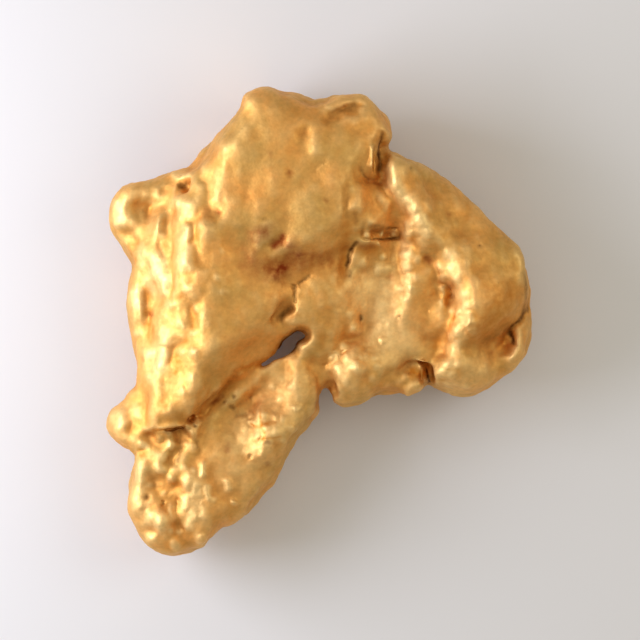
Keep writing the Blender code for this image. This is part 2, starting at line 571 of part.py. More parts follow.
def set_down(mesh):
    """Lays the piece on its three bosses, rubs them flat, centres it and scales it to metres."""
    points = positions(mesh)
    lowest = []
    for boss in BOSSES:
        near = points[np.linalg.norm(points[:, :2] - np.array(boss), axis=1) < BOSS_REACH]
        lowest.append(near[near[:, 2].argmin()])
    lowest = np.array(lowest)
    level = np.linalg.solve(np.column_stack([lowest[:, :2], np.ones(3)]), lowest[:, 2])
    ground = points[:, :2] @ level[:2] + level[2]
    points[:, 2] = np.maximum(points[:, 2] - ground - WORN_FLAT, 0)
    low, high = points.min(axis=0), points.max(axis=0)
    points[:, :2] -= (low[:2] + high[:2]) / 2
    points *= np.array([WIDTH / (high[0] - low[0]), LENGTH / (high[1] - low[1]), 1]) * MM
    place(mesh, points)


def gold():
    material = bpy.data.materials.new("native gold, river worn")
    material.use_nodes = True
    surface = material.node_tree.nodes["Principled BSDF"]
    surface.inputs["Base Color"].default_value = GOLD
    surface.inputs["Metallic"].default_value = 1.0
    surface.inputs["Roughness"].default_value = 0.45
    material.diffuse_color = GOLD
    return material


def main():
    for old in list(bpy.data.objects):
        bpy.data.objects.remove(old)
    lump = joined_lobes()
    melt(lump)
    rub_flat(lump.data)
    work_in(lump.data, UPPER, 1)
    work_in(lump.data, UNDER, -1)
    knock_in(lump.data)
    roughen(lump.data)
    relax(lump)
    set_down(lump.data)
    lump.data.materials.append(gold())
    lump.data.shade_smooth()


main()
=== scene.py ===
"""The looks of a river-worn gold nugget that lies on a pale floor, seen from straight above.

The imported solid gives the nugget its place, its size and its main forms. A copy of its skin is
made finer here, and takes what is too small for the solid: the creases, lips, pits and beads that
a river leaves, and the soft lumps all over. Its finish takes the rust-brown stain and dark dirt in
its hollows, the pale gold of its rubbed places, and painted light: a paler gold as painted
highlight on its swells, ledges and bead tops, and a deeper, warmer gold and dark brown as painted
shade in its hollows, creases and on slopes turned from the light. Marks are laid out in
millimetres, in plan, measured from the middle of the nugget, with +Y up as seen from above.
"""

import bmesh
import bpy
import numpy as np
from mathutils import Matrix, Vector, noise

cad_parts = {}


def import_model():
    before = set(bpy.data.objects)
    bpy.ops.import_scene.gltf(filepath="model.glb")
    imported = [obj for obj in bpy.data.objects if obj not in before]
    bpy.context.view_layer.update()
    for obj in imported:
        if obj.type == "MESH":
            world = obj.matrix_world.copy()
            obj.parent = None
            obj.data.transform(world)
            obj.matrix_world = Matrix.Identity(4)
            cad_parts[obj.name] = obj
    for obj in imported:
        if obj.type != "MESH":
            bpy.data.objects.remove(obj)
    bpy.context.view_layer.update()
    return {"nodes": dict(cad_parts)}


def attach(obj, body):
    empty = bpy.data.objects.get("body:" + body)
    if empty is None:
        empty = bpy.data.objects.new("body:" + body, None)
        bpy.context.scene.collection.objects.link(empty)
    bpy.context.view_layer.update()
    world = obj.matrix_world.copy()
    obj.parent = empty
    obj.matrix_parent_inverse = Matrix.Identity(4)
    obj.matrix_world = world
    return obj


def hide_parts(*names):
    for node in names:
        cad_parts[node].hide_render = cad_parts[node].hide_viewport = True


MM = 0.001

# The skin, in millimetres.
SKIN_CELL = 0.085  # size of the cells that the fine skin is drawn with
SKIN_TRIANGLES = 160000  # before the finest marks are drawn finer still
SOFTENING = 8  # passes of smoothing that round the broad marks off
MARK_LEVEL = (0.0, 0.35)  # a mark fades out as its wall turns down, between these upward slopes
WANDERS = ((0.7, 0.12), (0.3, 0.05))  # the bends in a mark's edge: how far apart, and how wide
WANDER_SEED = 3

# What turns a mark as it is laid out, by its lit side, into one that the river has worn.
RAISED_SPREAD = 1.7  # how much wider a raised mark's foot is
RAISED_SHARE = 0.7  # how much of its height is left
RAISED_SHIFT = 0.16  # how far to the right its middle lies, in millimetres
SUNK_SPREAD = 1.35  # the same for a sunk mark, which keeps its place
SUNK_SHARE = 0.55
BEAD_SPREAD = 1.15  # and for a bead
BEAD_SHARE = 0.6
BEAD_SHIFT = 0.06
FINE_MARK = 0.19  # marks narrower than this are worked last, in finer cells

# The soft lumps all over, in millimetres: from one to the next, and how high.
SWELL_SIZE = 1.5
SWELL_RISE = 0.36
LUMP_SIZE = 0.7
LUMP_RISE = 0.16
PEBBLE_SIZE = 0.38  # the smallest and roundest of them
PEBBLE_RISE = 0.06
LUMP_SHAPE = (1.0, 0.75, 1.0)  # they are longer along Y than across it
LUMP_SEED = 7
FULL_LUMPS = 0.15  # how much the full lumps weigh where a zone makes them lower or higher
HOLLOW_REACH = 22  # passes of blur that tell a hollow from a swell
HOLLOW_DEPTH = 0.05  # a hollow as deep as this counts as 1, and a swell as high as this as -1

# The finish. Native gold holds some silver, so it is paler than pure gold, and river wear dulls it.
GOLD = "#E6A856"
GOLD_PALE_AND_LIT = "#F4D08A"  # where it is rubbed paler, and painted highlight on the swells, ledges and bead tops
GOLD_OLIVE = "#D2A458"  # where it holds more silver
GOLD_HOLLOW_SHADE = "#C4843A"  # painted shade: a deeper gold in its hollows
GOLD_WARM_SHADE = "#C8822E"  # painted shade in the creases, the valley, the pockets and on slopes turned from the light
RUST = "#8E3C16"
# dark brown dirt, and painted shade in the creases, pits and folds
DIRT_AND_SHADE = "#643C16"
PATCH_SIZE = 2.2  # from one tint of gold to the next, in millimetres, as all these sizes are
PATCH_EDGE = (0.35, 0.65)  # the levels of the pattern between which one tint turns to the other
PROUDEST = -1.2  # how hollow the proudest swell counts as
PROUD_SHARE = 0.45  # and how much of the pale gold it has: rubbed paler, and painted highlight
DEEPEST = 1.4  # how hollow the deepest hollow counts as
HOLLOW_SHADE_SHARE = 0.7  # and how much of the deeper gold of the painted shade it has
RUBBED_AND_LIT_SHARE = 0.6  # how pale the top of a bead is rubbed and painted as highlight
RUBBED_AND_LIT_RISE = 0.15  # when it is as high as this
NOISE_LEVELS = (0.3, 0.7)  # the levels that nearly all of a noise pattern lies between
SPECKLE_SIZE = 0.22
SPECKLE_SHADES = (0.91, 1.07)  # how much darker and brighter the fine speckle makes the gold
MOTTLE_SIZE = 0.35  # the blotches that break up the edge of a stain
MOTTLE_SHARES = (0.6, 1.3)  # how much thinner and thicker they make it
ROUGHNESS = (0.56, 0.70)
PITTING_SIZE = 0.28
PITTING_RISE = 0.012
GRAIN_SIZE = 0.12  # real grain is finer: this is as fine as shows
GRAIN_RISE = 0.006

# The view, in millimetres: its width, its middle, and a lens so long that nothing leans.
VIEW_WIDTH = 32.0
VIEW_CENTRE = (-0.06, 0.05, 3.5)
LENS = 1000.0
SENSOR_WIDTH = 36.0
VIEW_DEPTH = (1.0, 2000.0)  # what is nearer or further than this isn't drawn

# The studio, in millimetres.
FLOOR_REACH = 1000.0
PAPER = "#D9D6D0"
PAPER_ROUGHNESS = 0.9
SURROUNDINGS = (0.84, 0.8, 0.73, 1.0)
SURROUNDINGS_STRENGTH = 0.62
LIGHTS = (
    # its name, its place, its width, its power and its colour
    ("low left light", (-60, 6, 34), 50, 54000, (0.95, 1.0, 1.24)),
    ("right light", (50, 10, 60), 40, 11000, (1.0, 1.0, 1.0)),
)

# Where the sides are filled out or trimmed, from the crown round to the slit. Each is its reach,
# its rise (below zero where it is trimmed) and the points that it runs through.
SIDES = (
    (1.0, -0.24, (-4.85, 9.7), (-4.2, 10.6)),
    (0.8, 0.20, (-1.3, 11.25), (-0.4, 10.9)),
    (0.9, 0.24, (2.3, 11.0), (3.1, 10.2)),
    (0.6, -0.16, (3.7, 8.6), (4.3, 8.3)),
    (0.9, 0.20, (5.2, 7.6), (6.6, 6.5), (8.6, 4.9)),
    (1.0, 0.28, (10.1, 3.4), (10.4, 1.6)),
    (0.7, 0.15, (10.1, -1.7), (9.6, -2.3)),
    (0.35, -0.24, (0.45, -3.2), (0.6, -3.7)),
    (0.5, 0.14, (-0.35, -4.5)),
    (0.7, -0.20, (2.9, -3.85), (3.8, -3.7)),
    (0.6, 0.13, (-10.3, -4.5), (-10.35, -5.3), (-9.9, -5.7)),
    (0.5, 0.10, (-9.4, -3.7)),
    (0.7, -0.22, (-5.4, -11.1), (-4.9, -10.5)),
    (0.6, -0.09, (-1.0, -5.9), (-1.7, -6.8)),
    (0.5, 0.09, (-6.0, 8.5)),
    (0.45, 0.16, (5.0, -3.3)),
    (0.5, 0.07, (-9.7, 7.2), (-8.0, 7.0)),
    (0.5, 0.16, (-0.95, -1.25)),
    (0.5, 0.12, (-1.6, -0.65)),
)

# Marks worked into the top of the skin, region by region. Each is its half width, its rise
# (below zero where it is sunk) and the points that it runs through.
MARKS = (
    # horn: the scooped end at the upper left
    (0.45, 0.10, (-9.85, 5.9), (-9.95, 4.8)),
    (0.50, -0.12, (-8.95, 5.85)),
    (0.24, -0.14, (-8.6, 5.6), (-8.6, 5.3)),
    (0.26, 0.16, (-8.3, 6.65), (-8.2, 6.25)),
    (0.22, -0.14, (-7.85, 6.55)),
    (0.26, -0.14, (-7.15, 6.75), (-6.75, 6.8)),
    (0.34, 0.20, (-7.4, 7.25), (-6.6, 7.35)),
    (0.28, -0.10, (-9.75, 4.45), (-9.3, 4.5)),
    (0.30, 0.08, (-9.4, 6.6), (-8.9, 6.9)),
    # flutes: the steep ribs below the horn
    (0.40, 0.14, (-8.2, 5.2), (-8.35, 4.6), (-8.8, 3.8), (-8.4, 3.0)),
    (0.40, 0.12, (-9.1, 3.4), (-9.0, 2.5)),
    (0.22, 0.14, (-7.78, 4.7), (-7.72, 4.0), (-7.66, 3.0)),
    (0.22, 0.14, (-8.25, 4.9), (-8.2, 4.3)),
    (0.46, 0.20, (-6.9, 5.8), (-6.8, 4.8), (-6.7, 4.2), (-6.9, 3.4), (-6.9, 2.4)),
    (0.40, 0.16, (-7.9, 5.85), (-7.2, 6.05), (-6.6, 5.8)),
    (0.22, -0.08, (-6.1, 4.6), (-6.4, 4.0)),
    (0.34, 0.10, (-5.9, 5.0), (-5.9, 4.3), (-6.2, 3.7)),
    (0.60, 0.30, (-6.1, 5.6), (-6.0, 4.0), (-6.1, 2.4)),
    # flank: the rubbed left side
    (0.50, 0.16, (-8.7, 2.0), (-8.4, 1.4)),
    (0.46, 0.14, (-7.6, 2.2), (-7.5, 1.5)),
    (0.30, -0.12, (-8.5, 0.35)),
    (0.42, 0.16, (-9.3, 1.4), (-9.2, 0.3)),
    (0.40, 0.14, (-7.8, 0.6), (-7.7, 0.1)),
    (0.26, -0.10, (-7.1, 1.2), (-7.1, 1.6)),
    (0.26, -0.10, (-8.2, 1.0)),
    (0.40, 0.16, (-7.0, 0.2), (-7.1, -0.6)),
    (0.34, 0.12, (-6.1, 0.5), (-6.0, -0.1)),
    (0.38, 0.14, (-8.9, -0.7), (-8.9, -1.5)),
    (0.42, 0.16, (-7.8, -0.8), (-7.9, -1.6)),
    (0.28, -0.09, (-8.3, -0.4), (-8.3, -1.0)),
    (0.36, 0.13, (-6.6, -1.6), (-6.6, -2.2)),
    (0.26, -0.08, (-6.3, -0.7), (-6.2, -1.2)),
    (0.42, 0.15, (-8.4, -2.3), (-8.5, -3.1)),
    (0.40, 0.13, (-7.5, -2.5), (-7.4, -3.3)),
    (0.26, -0.08, (-7.9, -2.5), (-7.9, -3.0)),
    (0.32, 0.11, (-6.4, -2.8), (-6.4, -3.2)),
    (0.36, 0.12, (-6.6, 1.8), (-6.5, 1.2)),
    (0.36, -0.20, (-8.8, 1.6), (-8.65, 0.6), (-8.65, -0.3), (-8.55, -0.9)),
    (0.30, -0.12, (-7.2, -1.4), (-7.1, -2.4)),
    (0.28, -0.12, (-6.4, 0.6), (-6.4, -0.4)),
    (0.60, -0.25, (-5.85, 4.0), (-5.85, 3.2)),
    (0.60, -0.22, (-7.0, 2.2), (-7.0, 1.4)),
    # the flank's lower end, and the fold where the toe starts
    (1.00, 0.40, (-8.1, -4.0), (-8.0, -4.8)),
    (0.70, -0.25, (-6.7, -3.8), (-6.8, -4.6)),
    (0.45, 0.30, (-7.4, -5.85), (-6.6, -5.7)),
    (0.35, 0.34, (-8.1, -5.6), (-7.2, -5.5), (-6.7, -5.45)),
    (0.40, -0.34, (-7.9, -5.1), (-7.2, -5.05), (-6.7, -4.9)),
    (0.28, 0.50, (-6.5, -5.0)),
    (0.25, 0.22, (-5.6, -4.0), (-5.1, -3.4)),
    # slope between the flutes and the crown
    (0.34, 0.14, (-6.2, 6.4)),
    (0.30, 0.16, (-5.5, 6.9), (-5.4, 6.1)),
    (0.50, -0.10, (-4.6, 8.3), (-4.6, 6.0)),
    (0.38, 0.10, (-5.9, 7.5)),
    (0.20, -0.10, (-5.1, 5.4)),
    # inner slope, down to the leg
    (0.34, 0.08, (-5.1, 2.2)),
    (0.30, 0.07, (-4.9, 1.5)),
    (0.30, -0.07, (-5.5, 2.2)),
    (0.30, -0.07, (-5.7, 2.8)),
    (0.34, 0.06, (-3.9, 0.4), (-4.3, -0.1)),
    (0.30, -0.05, (-3.4, 0.9)),
    # crown
    (0.42, -0.13, (-0.85, 9.25), (-0.85, 8.55)),
    (0.22, 0.07, (-0.3, 9.3), (-0.35, 8.4)),
    (0.22, -0.08, (-1.2, 9.35), (-0.75, 9.6)),
    (0.20, -0.09, (-1.55, 7.35)),
    (0.20, -0.07, (0.2, 6.0)),
    (0.13, -0.06, (-0.3, 7.6), (0.0, 7.8), (0.2, 7.85)),
    (0.22, -0.08, (-0.95, 6.9), (-0.9, 6.6)),
    (0.20, -0.09, (-2.85, 5.1)),
    (0.24, 0.08, (-2.7, 4.85)),
    (0.38, 0.06, (-3.4, 9.7)),
    (0.30, 0.06, (-3.8, 9.3)),
    (0.34, 0.07, (0.35, 7.0)),
    (0.30, 0.06, (-0.4, 6.6)),
    (0.50, 0.05, (-1.4, 5.2)),
    (0.20, 0.05, (-0.1, 4.6)),
    (0.34, -0.06, (-2.0, 5.8), (-1.5, 6.2)),
    # valley: its pits, its crack and the soft swell below it
    (0.28, -0.07, (-2.35, 3.85), (-2.0, 4.1)),
    (0.26, 0.06, (-3.3, 4.0)),
    (0.14, -0.10, (-1.2, 1.95), (-0.6, 2.25)),
    (0.80, 0.16, (-3.3, 2.6), (-2.0, 2.4), (-0.6, 2.7), (0.6, 2.7)),
    # crown, towards the brow
    (0.20, -0.07, (0.9, 8.4)),
    (0.24, 0.06, (1.8, 8.6)),
    # brow: its lip, its slit and the fold at the slit's foot
    (0.30, -0.24, (0.4, 10.3), (0.8, 10.5), (1.2, 10.62)),
    (0.22, -0.18, (1.1, 10.6), (1.6, 10.75), (2.1, 10.75)),
    (0.34, 0.12, (1.2, 10.1), (2.0, 10.2)),
    (0.20, 0.07, (0.3, 10.6)),
    (0.24, 0.16, (0.9, 11.05), (1.6, 11.15), (2.3, 11.0)),
    (0.30, -0.34, (3.0, 9.2), (2.9, 8.3), (2.8, 7.5)),
    (0.11, -0.17, (3.04, 9.35), (2.96, 8.8), (2.9, 8.3), (2.9, 7.8), (2.82, 7.4)),
    (0.30, 0.20, (3.35, 9.7), (3.4, 9.2)),
    (0.14, -0.12, (2.0, 7.5), (2.12, 7.2), (2.3, 7.02)),
    (0.14, -0.08, (2.35, 7.05), (2.95, 6.85)),
    (0.26, 0.14, (2.45, 7.7)),
    # gusset: the olive swell and the grooves round it
    (0.38, 0.30, (1.85, 6.6), (1.75, 5.7)),
    (0.20, -0.20, (1.3, 7.0), (1.2, 6.0), (1.25, 5.2)),
    (0.20, -0.12, (1.62, 5.3), (1.72, 4.75)),
    (0.24, -0.06, (3.0, 6.7), (2.75, 6.1), (2.6, 5.6)),
    (0.24, -0.10, (3.3, 6.2), (3.8, 5.9)),
    (0.22, 0.16, (3.2, 5.55)),
    (0.30, 0.18, (2.8, 6.4), (3.15, 5.9)),
    # the wall right of the gusset, and the sill of the slit above it
    (0.38, 0.22, (3.45, 7.6), (3.5, 7.1), (3.65, 6.7)),
    (0.34, 0.38, (3.15, 8.2), (3.15, 7.6), (3.25, 7.1), (3.35, 6.7)),
    (0.50, 0.30, (3.6, 8.0), (3.65, 7.2), (3.9, 6.7), (4.4, 6.2), (4.8, 5.7)),
    (0.28, 0.80, (2.66, 8.5), (2.62, 7.9), (2.60, 7.5)),
    # ring pocket
    (0.34, -0.20, (2.2, 4.5), (2.9, 4.5), (3.6, 4.5)),
    (
        0.10, -0.15,
        (2.02, 4.2), (2.3, 4.08), (2.75, 4.15), (3.1, 4.12), (3.5, 4.06), (3.85, 4.15),
        (4.0, 4.4),
    ),
    (0.09, -0.10, (3.85, 4.68), (3.5, 4.72), (3.2, 4.62)),
    # neck crease, the gutter that it lies in and the hollow right of it
    (0.32, -0.12, (1.6, 4.3), (1.25, 3.5), (1.15, 2.7), (1.0, 1.9)),
    (0.13, -0.12, (1.85, 3.9), (1.55, 3.45), (1.4, 3.0), (1.28, 2.7)),
    (0.20, 0.14, (1.35, 3.3), (1.15, 2.9)),
    (0.40, -0.10, (1.9, 3.5), (2.6, 3.5)),
    (0.14, 0.06, (2.7, 3.82)),
    (0.28, 0.09, (2.0, 2.85)),
    (0.28, 0.14, (2.85, 2.65)),
    (0.22, 0.09, (3.0, 3.15)),
    (0.20, -0.10, (3.4, 2.2)),
    # first ledge: the step, then the rubbed faces along it
    (
        0.75, 0.70,
        (4.0, 7.9), (4.1, 7.0), (4.5, 6.3), (4.9, 5.8), (5.35, 5.3), (5.6, 4.8), (5.6, 4.1),
    ),
    (0.40, 0.40, (3.6, 6.1), (4.0, 5.4)),
    (1.00, 0.30, (4.8, 7.6), (5.4, 6.6), (6.2, 5.6), (6.6, 4.6)),
    (0.45, 0.22, (3.1, 6.1), (3.3, 5.4)),
    (0.16, -0.07, (4.65, 4.7), (4.7, 4.1)),
    # beads below it, and the step that they sit on
    (0.55, 0.40, (4.75, 4.8), (4.75, 4.2), (4.7, 3.4), (4.75, 2.7), (4.75, 2.0), (4.65, 1.2)),
    (0.60, 0.36, (5.5, 4.4), (5.4, 3.4), (5.5, 2.4), (5.8, 1.6), (5.9, 0.9), (5.9, 0.2)),
    (0.40, -0.14, (3.6, 3.6), (3.5, 2.7), (3.6, 2.0), (3.45, 1.2)),
    (0.26, -0.14, (5.2, 3.2), (5.4, 2.9)),
    # second ledge: the step, then the rubbed faces along it
    (0.50, 0.34, (6.1, 2.2), (6.3, 1.3), (6.45, 0.5), (6.2, -0.4)),
    (
        0.65, 0.62,
        (6.95, 3.6), (6.95, 3.0), (7.1, 2.3), (7.4, 1.6), (7.6, 0.9), (7.7, 0.2), (7.4, -0.5),
    ),
    (1.00, 0.34, (7.9, 3.0), (8.2, 2.0), (8.4, 1.0), (8.3, 0.2)),
    (0.60, 0.46, (7.3, -0.5), (7.1, -1.1), (6.9, -1.9), (6.4, -2.6)),
    (0.20, -0.07, (5.95, 1.95), (6.6, 1.7)),
    (0.20, 0.22, (6.1, 1.3)),
    (0.15, -0.10, (6.5, 1.2)),
    (0.16, -0.10, (6.9, 0.15), (6.6, -0.2)),
    (0.36, -0.06, (5.8, -1.0), (5.6, -1.3), (5.7, -1.7)),
    (0.15, -0.10, (7.2, -0.5), (7.5, -0.3)),
    # heel pocket, its slit and its lips
    (0.45, 0.35, (4.5, -2.6), (4.8, -2.75)),
    (0.30, 0.30, (4.5, -2.2), (4.9, -2.25)),
    (0.25, 0.30, (4.15, -2.15)),
    (0.20, 0.75, (4.92, -2.2), (4.94, -2.6), (4.97, -3.0)),
    (0.26, -0.06, (4.9, -1.95), (4.4, -2.2), (3.9, -2.6), (3.5, -3.1)),
    (0.16, 0.08, (3.95, -3.0), (4.2, -2.75)),
    (0.24, 0.30, (4.3, -3.35), (5.0, -3.2)),
    (0.11, -0.17, (5.25, -2.4), (5.32, -2.7), (5.38, -3.1)),
    (0.20, 0.08, (6.1, -3.05), (6.6, -3.3), (7.2, -3.35)),
    # palm
    (0.12, -0.18, (1.95, 0.2), (1.98, 0.05)),
    (0.15, -0.08, (1.15, -0.7), (1.3, -1.0), (1.8, -1.0)),
    (0.20, 0.06, (1.35, 0.3), (1.25, 0.0)),
    (0.12, -0.07, (0.9, 0.6)),
    (0.22, 0.05, (2.45, 0.0)),
    (0.14, -0.06, (3.2, -0.15)),
    (0.20, 0.06, (3.7, 0.3)),
    (0.13, -0.06, (3.95, 0.25)),
    (0.16, -0.07, (4.6, 1.5)),
    (0.18, 0.07, (5.3, 1.45)),
    (0.16, 0.05, (5.0, 0.15)),
    (0.18, 0.07, (2.9, -1.0)),
    (0.20, 0.06, (4.8, -1.0)),
    # heel patches
    (0.50, 0.24, (1.9, -2.3)),
    (0.12, -0.09, (0.3, -1.75), (0.7, -1.72), (1.15, -1.55)),
    (0.12, -0.07, (2.1, -1.3), (2.5, -1.25)),
    (0.13, -0.10, (0.2, -2.2)),
    (0.20, -0.08, (0.2, -0.85)),
    # saddle
    (0.13, -0.20, (-1.4, 1.8), (-1.3, 1.0)),
    (0.22, -0.33, (-1.5, 0.65), (-1.85, 0.35), (-2.05, 0.05)),
    (0.20, 0.08, (-0.5, 0.1), (-0.5, -0.35)),
    (0.20, 0.07, (-0.55, -1.0)),
    (0.22, 0.08, (-1.0, 0.1), (-1.5, -0.15)),
    (0.22, -0.08, (0.5, 0.4), (0.4, -0.4)),
    # shin and leg
    (0.30, 0.15, (-1.15, -1.8), (-1.15, -2.5), (-1.3, -3.2), (-1.4, -3.7)),
    (0.24, 0.08, (-0.85, -2.4), (-0.95, -2.8)),
    (0.20, -0.08, (-1.65, -1.9), (-1.8, -2.4)),
    (0.15, 0.06, (-1.3, -4.3)),
    (0.16, -0.15, (-4.4, -3.75)),
    (0.15, -0.12, (-4.6, -4.3), (-4.35, -4.42)),
    (0.14, -0.08, (-4.85, -4.05)),
    (0.15, -0.09, (-3.5, -3.85)),
    (0.16, -0.09, (-4.2, -4.75), (-3.8, -4.6)),
    (0.26, 0.07, (-2.5, -2.8), (-2.7, -3.2)),
    (0.24, 0.06, (-3.2, -3.3)),
    (0.38, 0.09, (-3.15, -4.5), (-3.05, -5.1), (-2.8, -5.6)),
    (0.26, 0.14, (-3.4, -5.85)),
    (0.15, 0.10, (-2.88, -5.95)),
    (0.34, 0.09, (-2.3, -5.4), (-2.15, -5.85)),
    (0.18, 0.12, (-1.6, -5.3)),
    (0.16, 0.10, (-1.6, -5.72)),
    (0.16, 0.08, (-2.5, -4.8)),
    (0.24, 0.06, (-2.1, -3.7)),
    (0.18, -0.12, (-2.6, -6.1)),
    (0.14, -0.15, (-3.55, -6.75)),
    (0.18, -0.07, (-2.65, -7.1)),
    (0.18, 0.08, (-3.0, -6.6)),
    (0.16, -0.10, (-3.6, -5.2)),
    (0.24, 0.12, (-4.8, -8.1), (-4.75, -8.45)),
    (0.17, 0.10, (-4.5, -9.05)),
    (0.24, -0.08, (-5.3, -8.3), (-5.3, -8.8)),
    (0.24, -0.07, (-4.7, -6.1), (-4.7, -6.5)),
    (0.30, 0.06, (-5.4, -5.6)),
    # spur and the knobs under the flank
    (0.40, 0.12, (-10.1, -4.8), (-10.1, -5.2)),
    (0.34, 0.14, (-9.4, -4.4), (-9.3, -4.7)),
    (0.22, 0.14, (-9.78, -5.1)),
    (0.26, 0.12, (-8.8, -5.3), (-8.7, -5.6)),
    (0.26, 0.14, (-8.9, -6.1)),
    (0.26, 0.18, (-7.6, -6.2)),
    (0.30, 0.14, (-8.2, -5.8), (-7.2, -5.8)),
    (0.32, 0.30, (-6.35, -5.1)),
    (0.13, -0.12, (-6.33, -5.2)),
    (0.15, 0.10, (-6.6, -5.6), (-6.1, -5.5)),
    (0.20, -0.16, (-6.95, -6.3), (-7.1, -6.8), (-7.25, -7.2)),
    (0.20, -0.12, (-6.25, -6.0), (-6.1, -6.5)),
    (0.22, 0.10, (-6.5, -6.35)),
    # the line where the flank meets the leg
    (
        0.14, -0.09,
        (-6.2, -4.7), (-5.8, -4.55), (-5.5, -4.2), (-5.2, -3.9), (-4.7, -3.2), (-4.2, -2.6),
    ),
    (0.14, -0.14, (-4.2, -2.6), (-3.6, -2.3), (-3.1, -2.1)),
    # toe
    (0.28, 0.10, (-8.1, -6.8)),
    (0.34, 0.15, (-8.15, -7.4)),
    (0.28, 0.18, (-8.9, -7.2), (-9.0, -7.6)),
    (0.34, 0.15, (-9.2, -8.0), (-9.5, -8.6)),
    (0.20, 0.12, (-7.7, -7.9)),
    (0.25, 0.16, (-6.1, -7.1), (-6.0, -7.6)),
    (0.34, 0.17, (-6.75, -7.7), (-6.9, -8.2)),
    (0.36, 0.18, (-6.4, -8.1), (-6.5, -8.6), (-6.65, -9.2)),
    (0.28, 0.14, (-5.8, -8.2), (-5.65, -9.0)),
    (0.26, 0.14, (-6.85, -10.2)),
    (0.22, 0.13, (-6.4, -9.8)),
    (0.34, 0.20, (-8.15, -9.6), (-8.05, -10.2)),
    (0.30, 0.16, (-8.5, -10.9)),
    (0.22, 0.16, (-7.6, -9.2), (-7.7, -9.8), (-7.6, -10.5)),
    (0.36, 0.10, (-7.4, -11.2)),
    (0.22, 0.10, (-7.7, -8.85)),
    (0.20, 0.10, (-6.1, -10.9)),
    (0.22, 0.10, (-9.4, -9.3)),
    (0.20, -0.22, (-8.65, -8.8)),
    (0.15, -0.22, (-7.9, -9.05)),
    (0.30, 0.14, (-7.2, -9.6)),
    (0.16, -0.08, (-7.25, -9.4), (-7.2, -9.9)),
    (0.30, -0.16, (-8.4, -8.2)),
    (0.20, -0.14, (-8.8, -10.5)),
    (0.15, -0.12, (-7.85, -10.5)),
    (0.26, -0.12, (-8.5, -9.4)),
    (0.20, -0.12, (-7.3, -8.2)),
    (0.16, -0.12, (-7.05, -9.0)),
    (0.18, -0.10, (-6.1, -8.9), (-6.1, -8.4)),
    # shoulder and dome
    (0.13, -0.14, (4.45, 7.65)),
    (0.24, 0.10, (4.8, 7.5)),
    (0.16, -0.06, (6.05, 6.5)),
    (0.20, -0.09, (6.4, 5.35)),
    (0.14, 0.05, (5.1, 5.95)),
    (0.26, -0.05, (5.6, 5.9), (5.9, 6.2)),
    (0.24, 0.06, (7.75, 4.7)),
    (0.20, 0.06, (7.5, 4.2)),
    (0.13, -0.12, (7.9, 3.85)),
    (0.30, 0.05, (7.75, 3.0)),
    (0.20, -0.05, (9.0, 1.9)),
    (0.24, 0.06, (9.75, 0.8)),
    (0.26, 0.34, (9.75, 3.6), (9.95, 2.9), (9.95, 2.0)),
    (0.22, -0.30, (10.15, 2.4), (10.25, 1.8), (10.2, 0.9), (10.1, 0.35)),
    (0.30, -0.14, (9.3, -0.2), (8.7, -0.7), (8.1, -1.0), (7.5, -1.6)),
    (0.24, -0.34, (10.25, 0.6), (9.95, 0.1), (9.55, -0.35), (9.42, -0.7)),
    (0.34, 0.42, (10.25, -0.1), (9.95, -0.6), (9.8, -1.1), (9.6, -1.7), (9.35, -2.0)),
    (0.34, -0.20, (9.3, -0.9), (9.1, -1.4)),
    (0.30, 0.10, (8.8, -0.2), (8.3, -0.6), (7.8, -0.9)),
    (0.18, -0.27, (9.48, -0.65), (9.52, -0.9), (9.55, -1.1)),
    (0.20, -0.10, (8.5, -1.5)),
    (0.16, -0.07, (7.9, -1.8)),
)

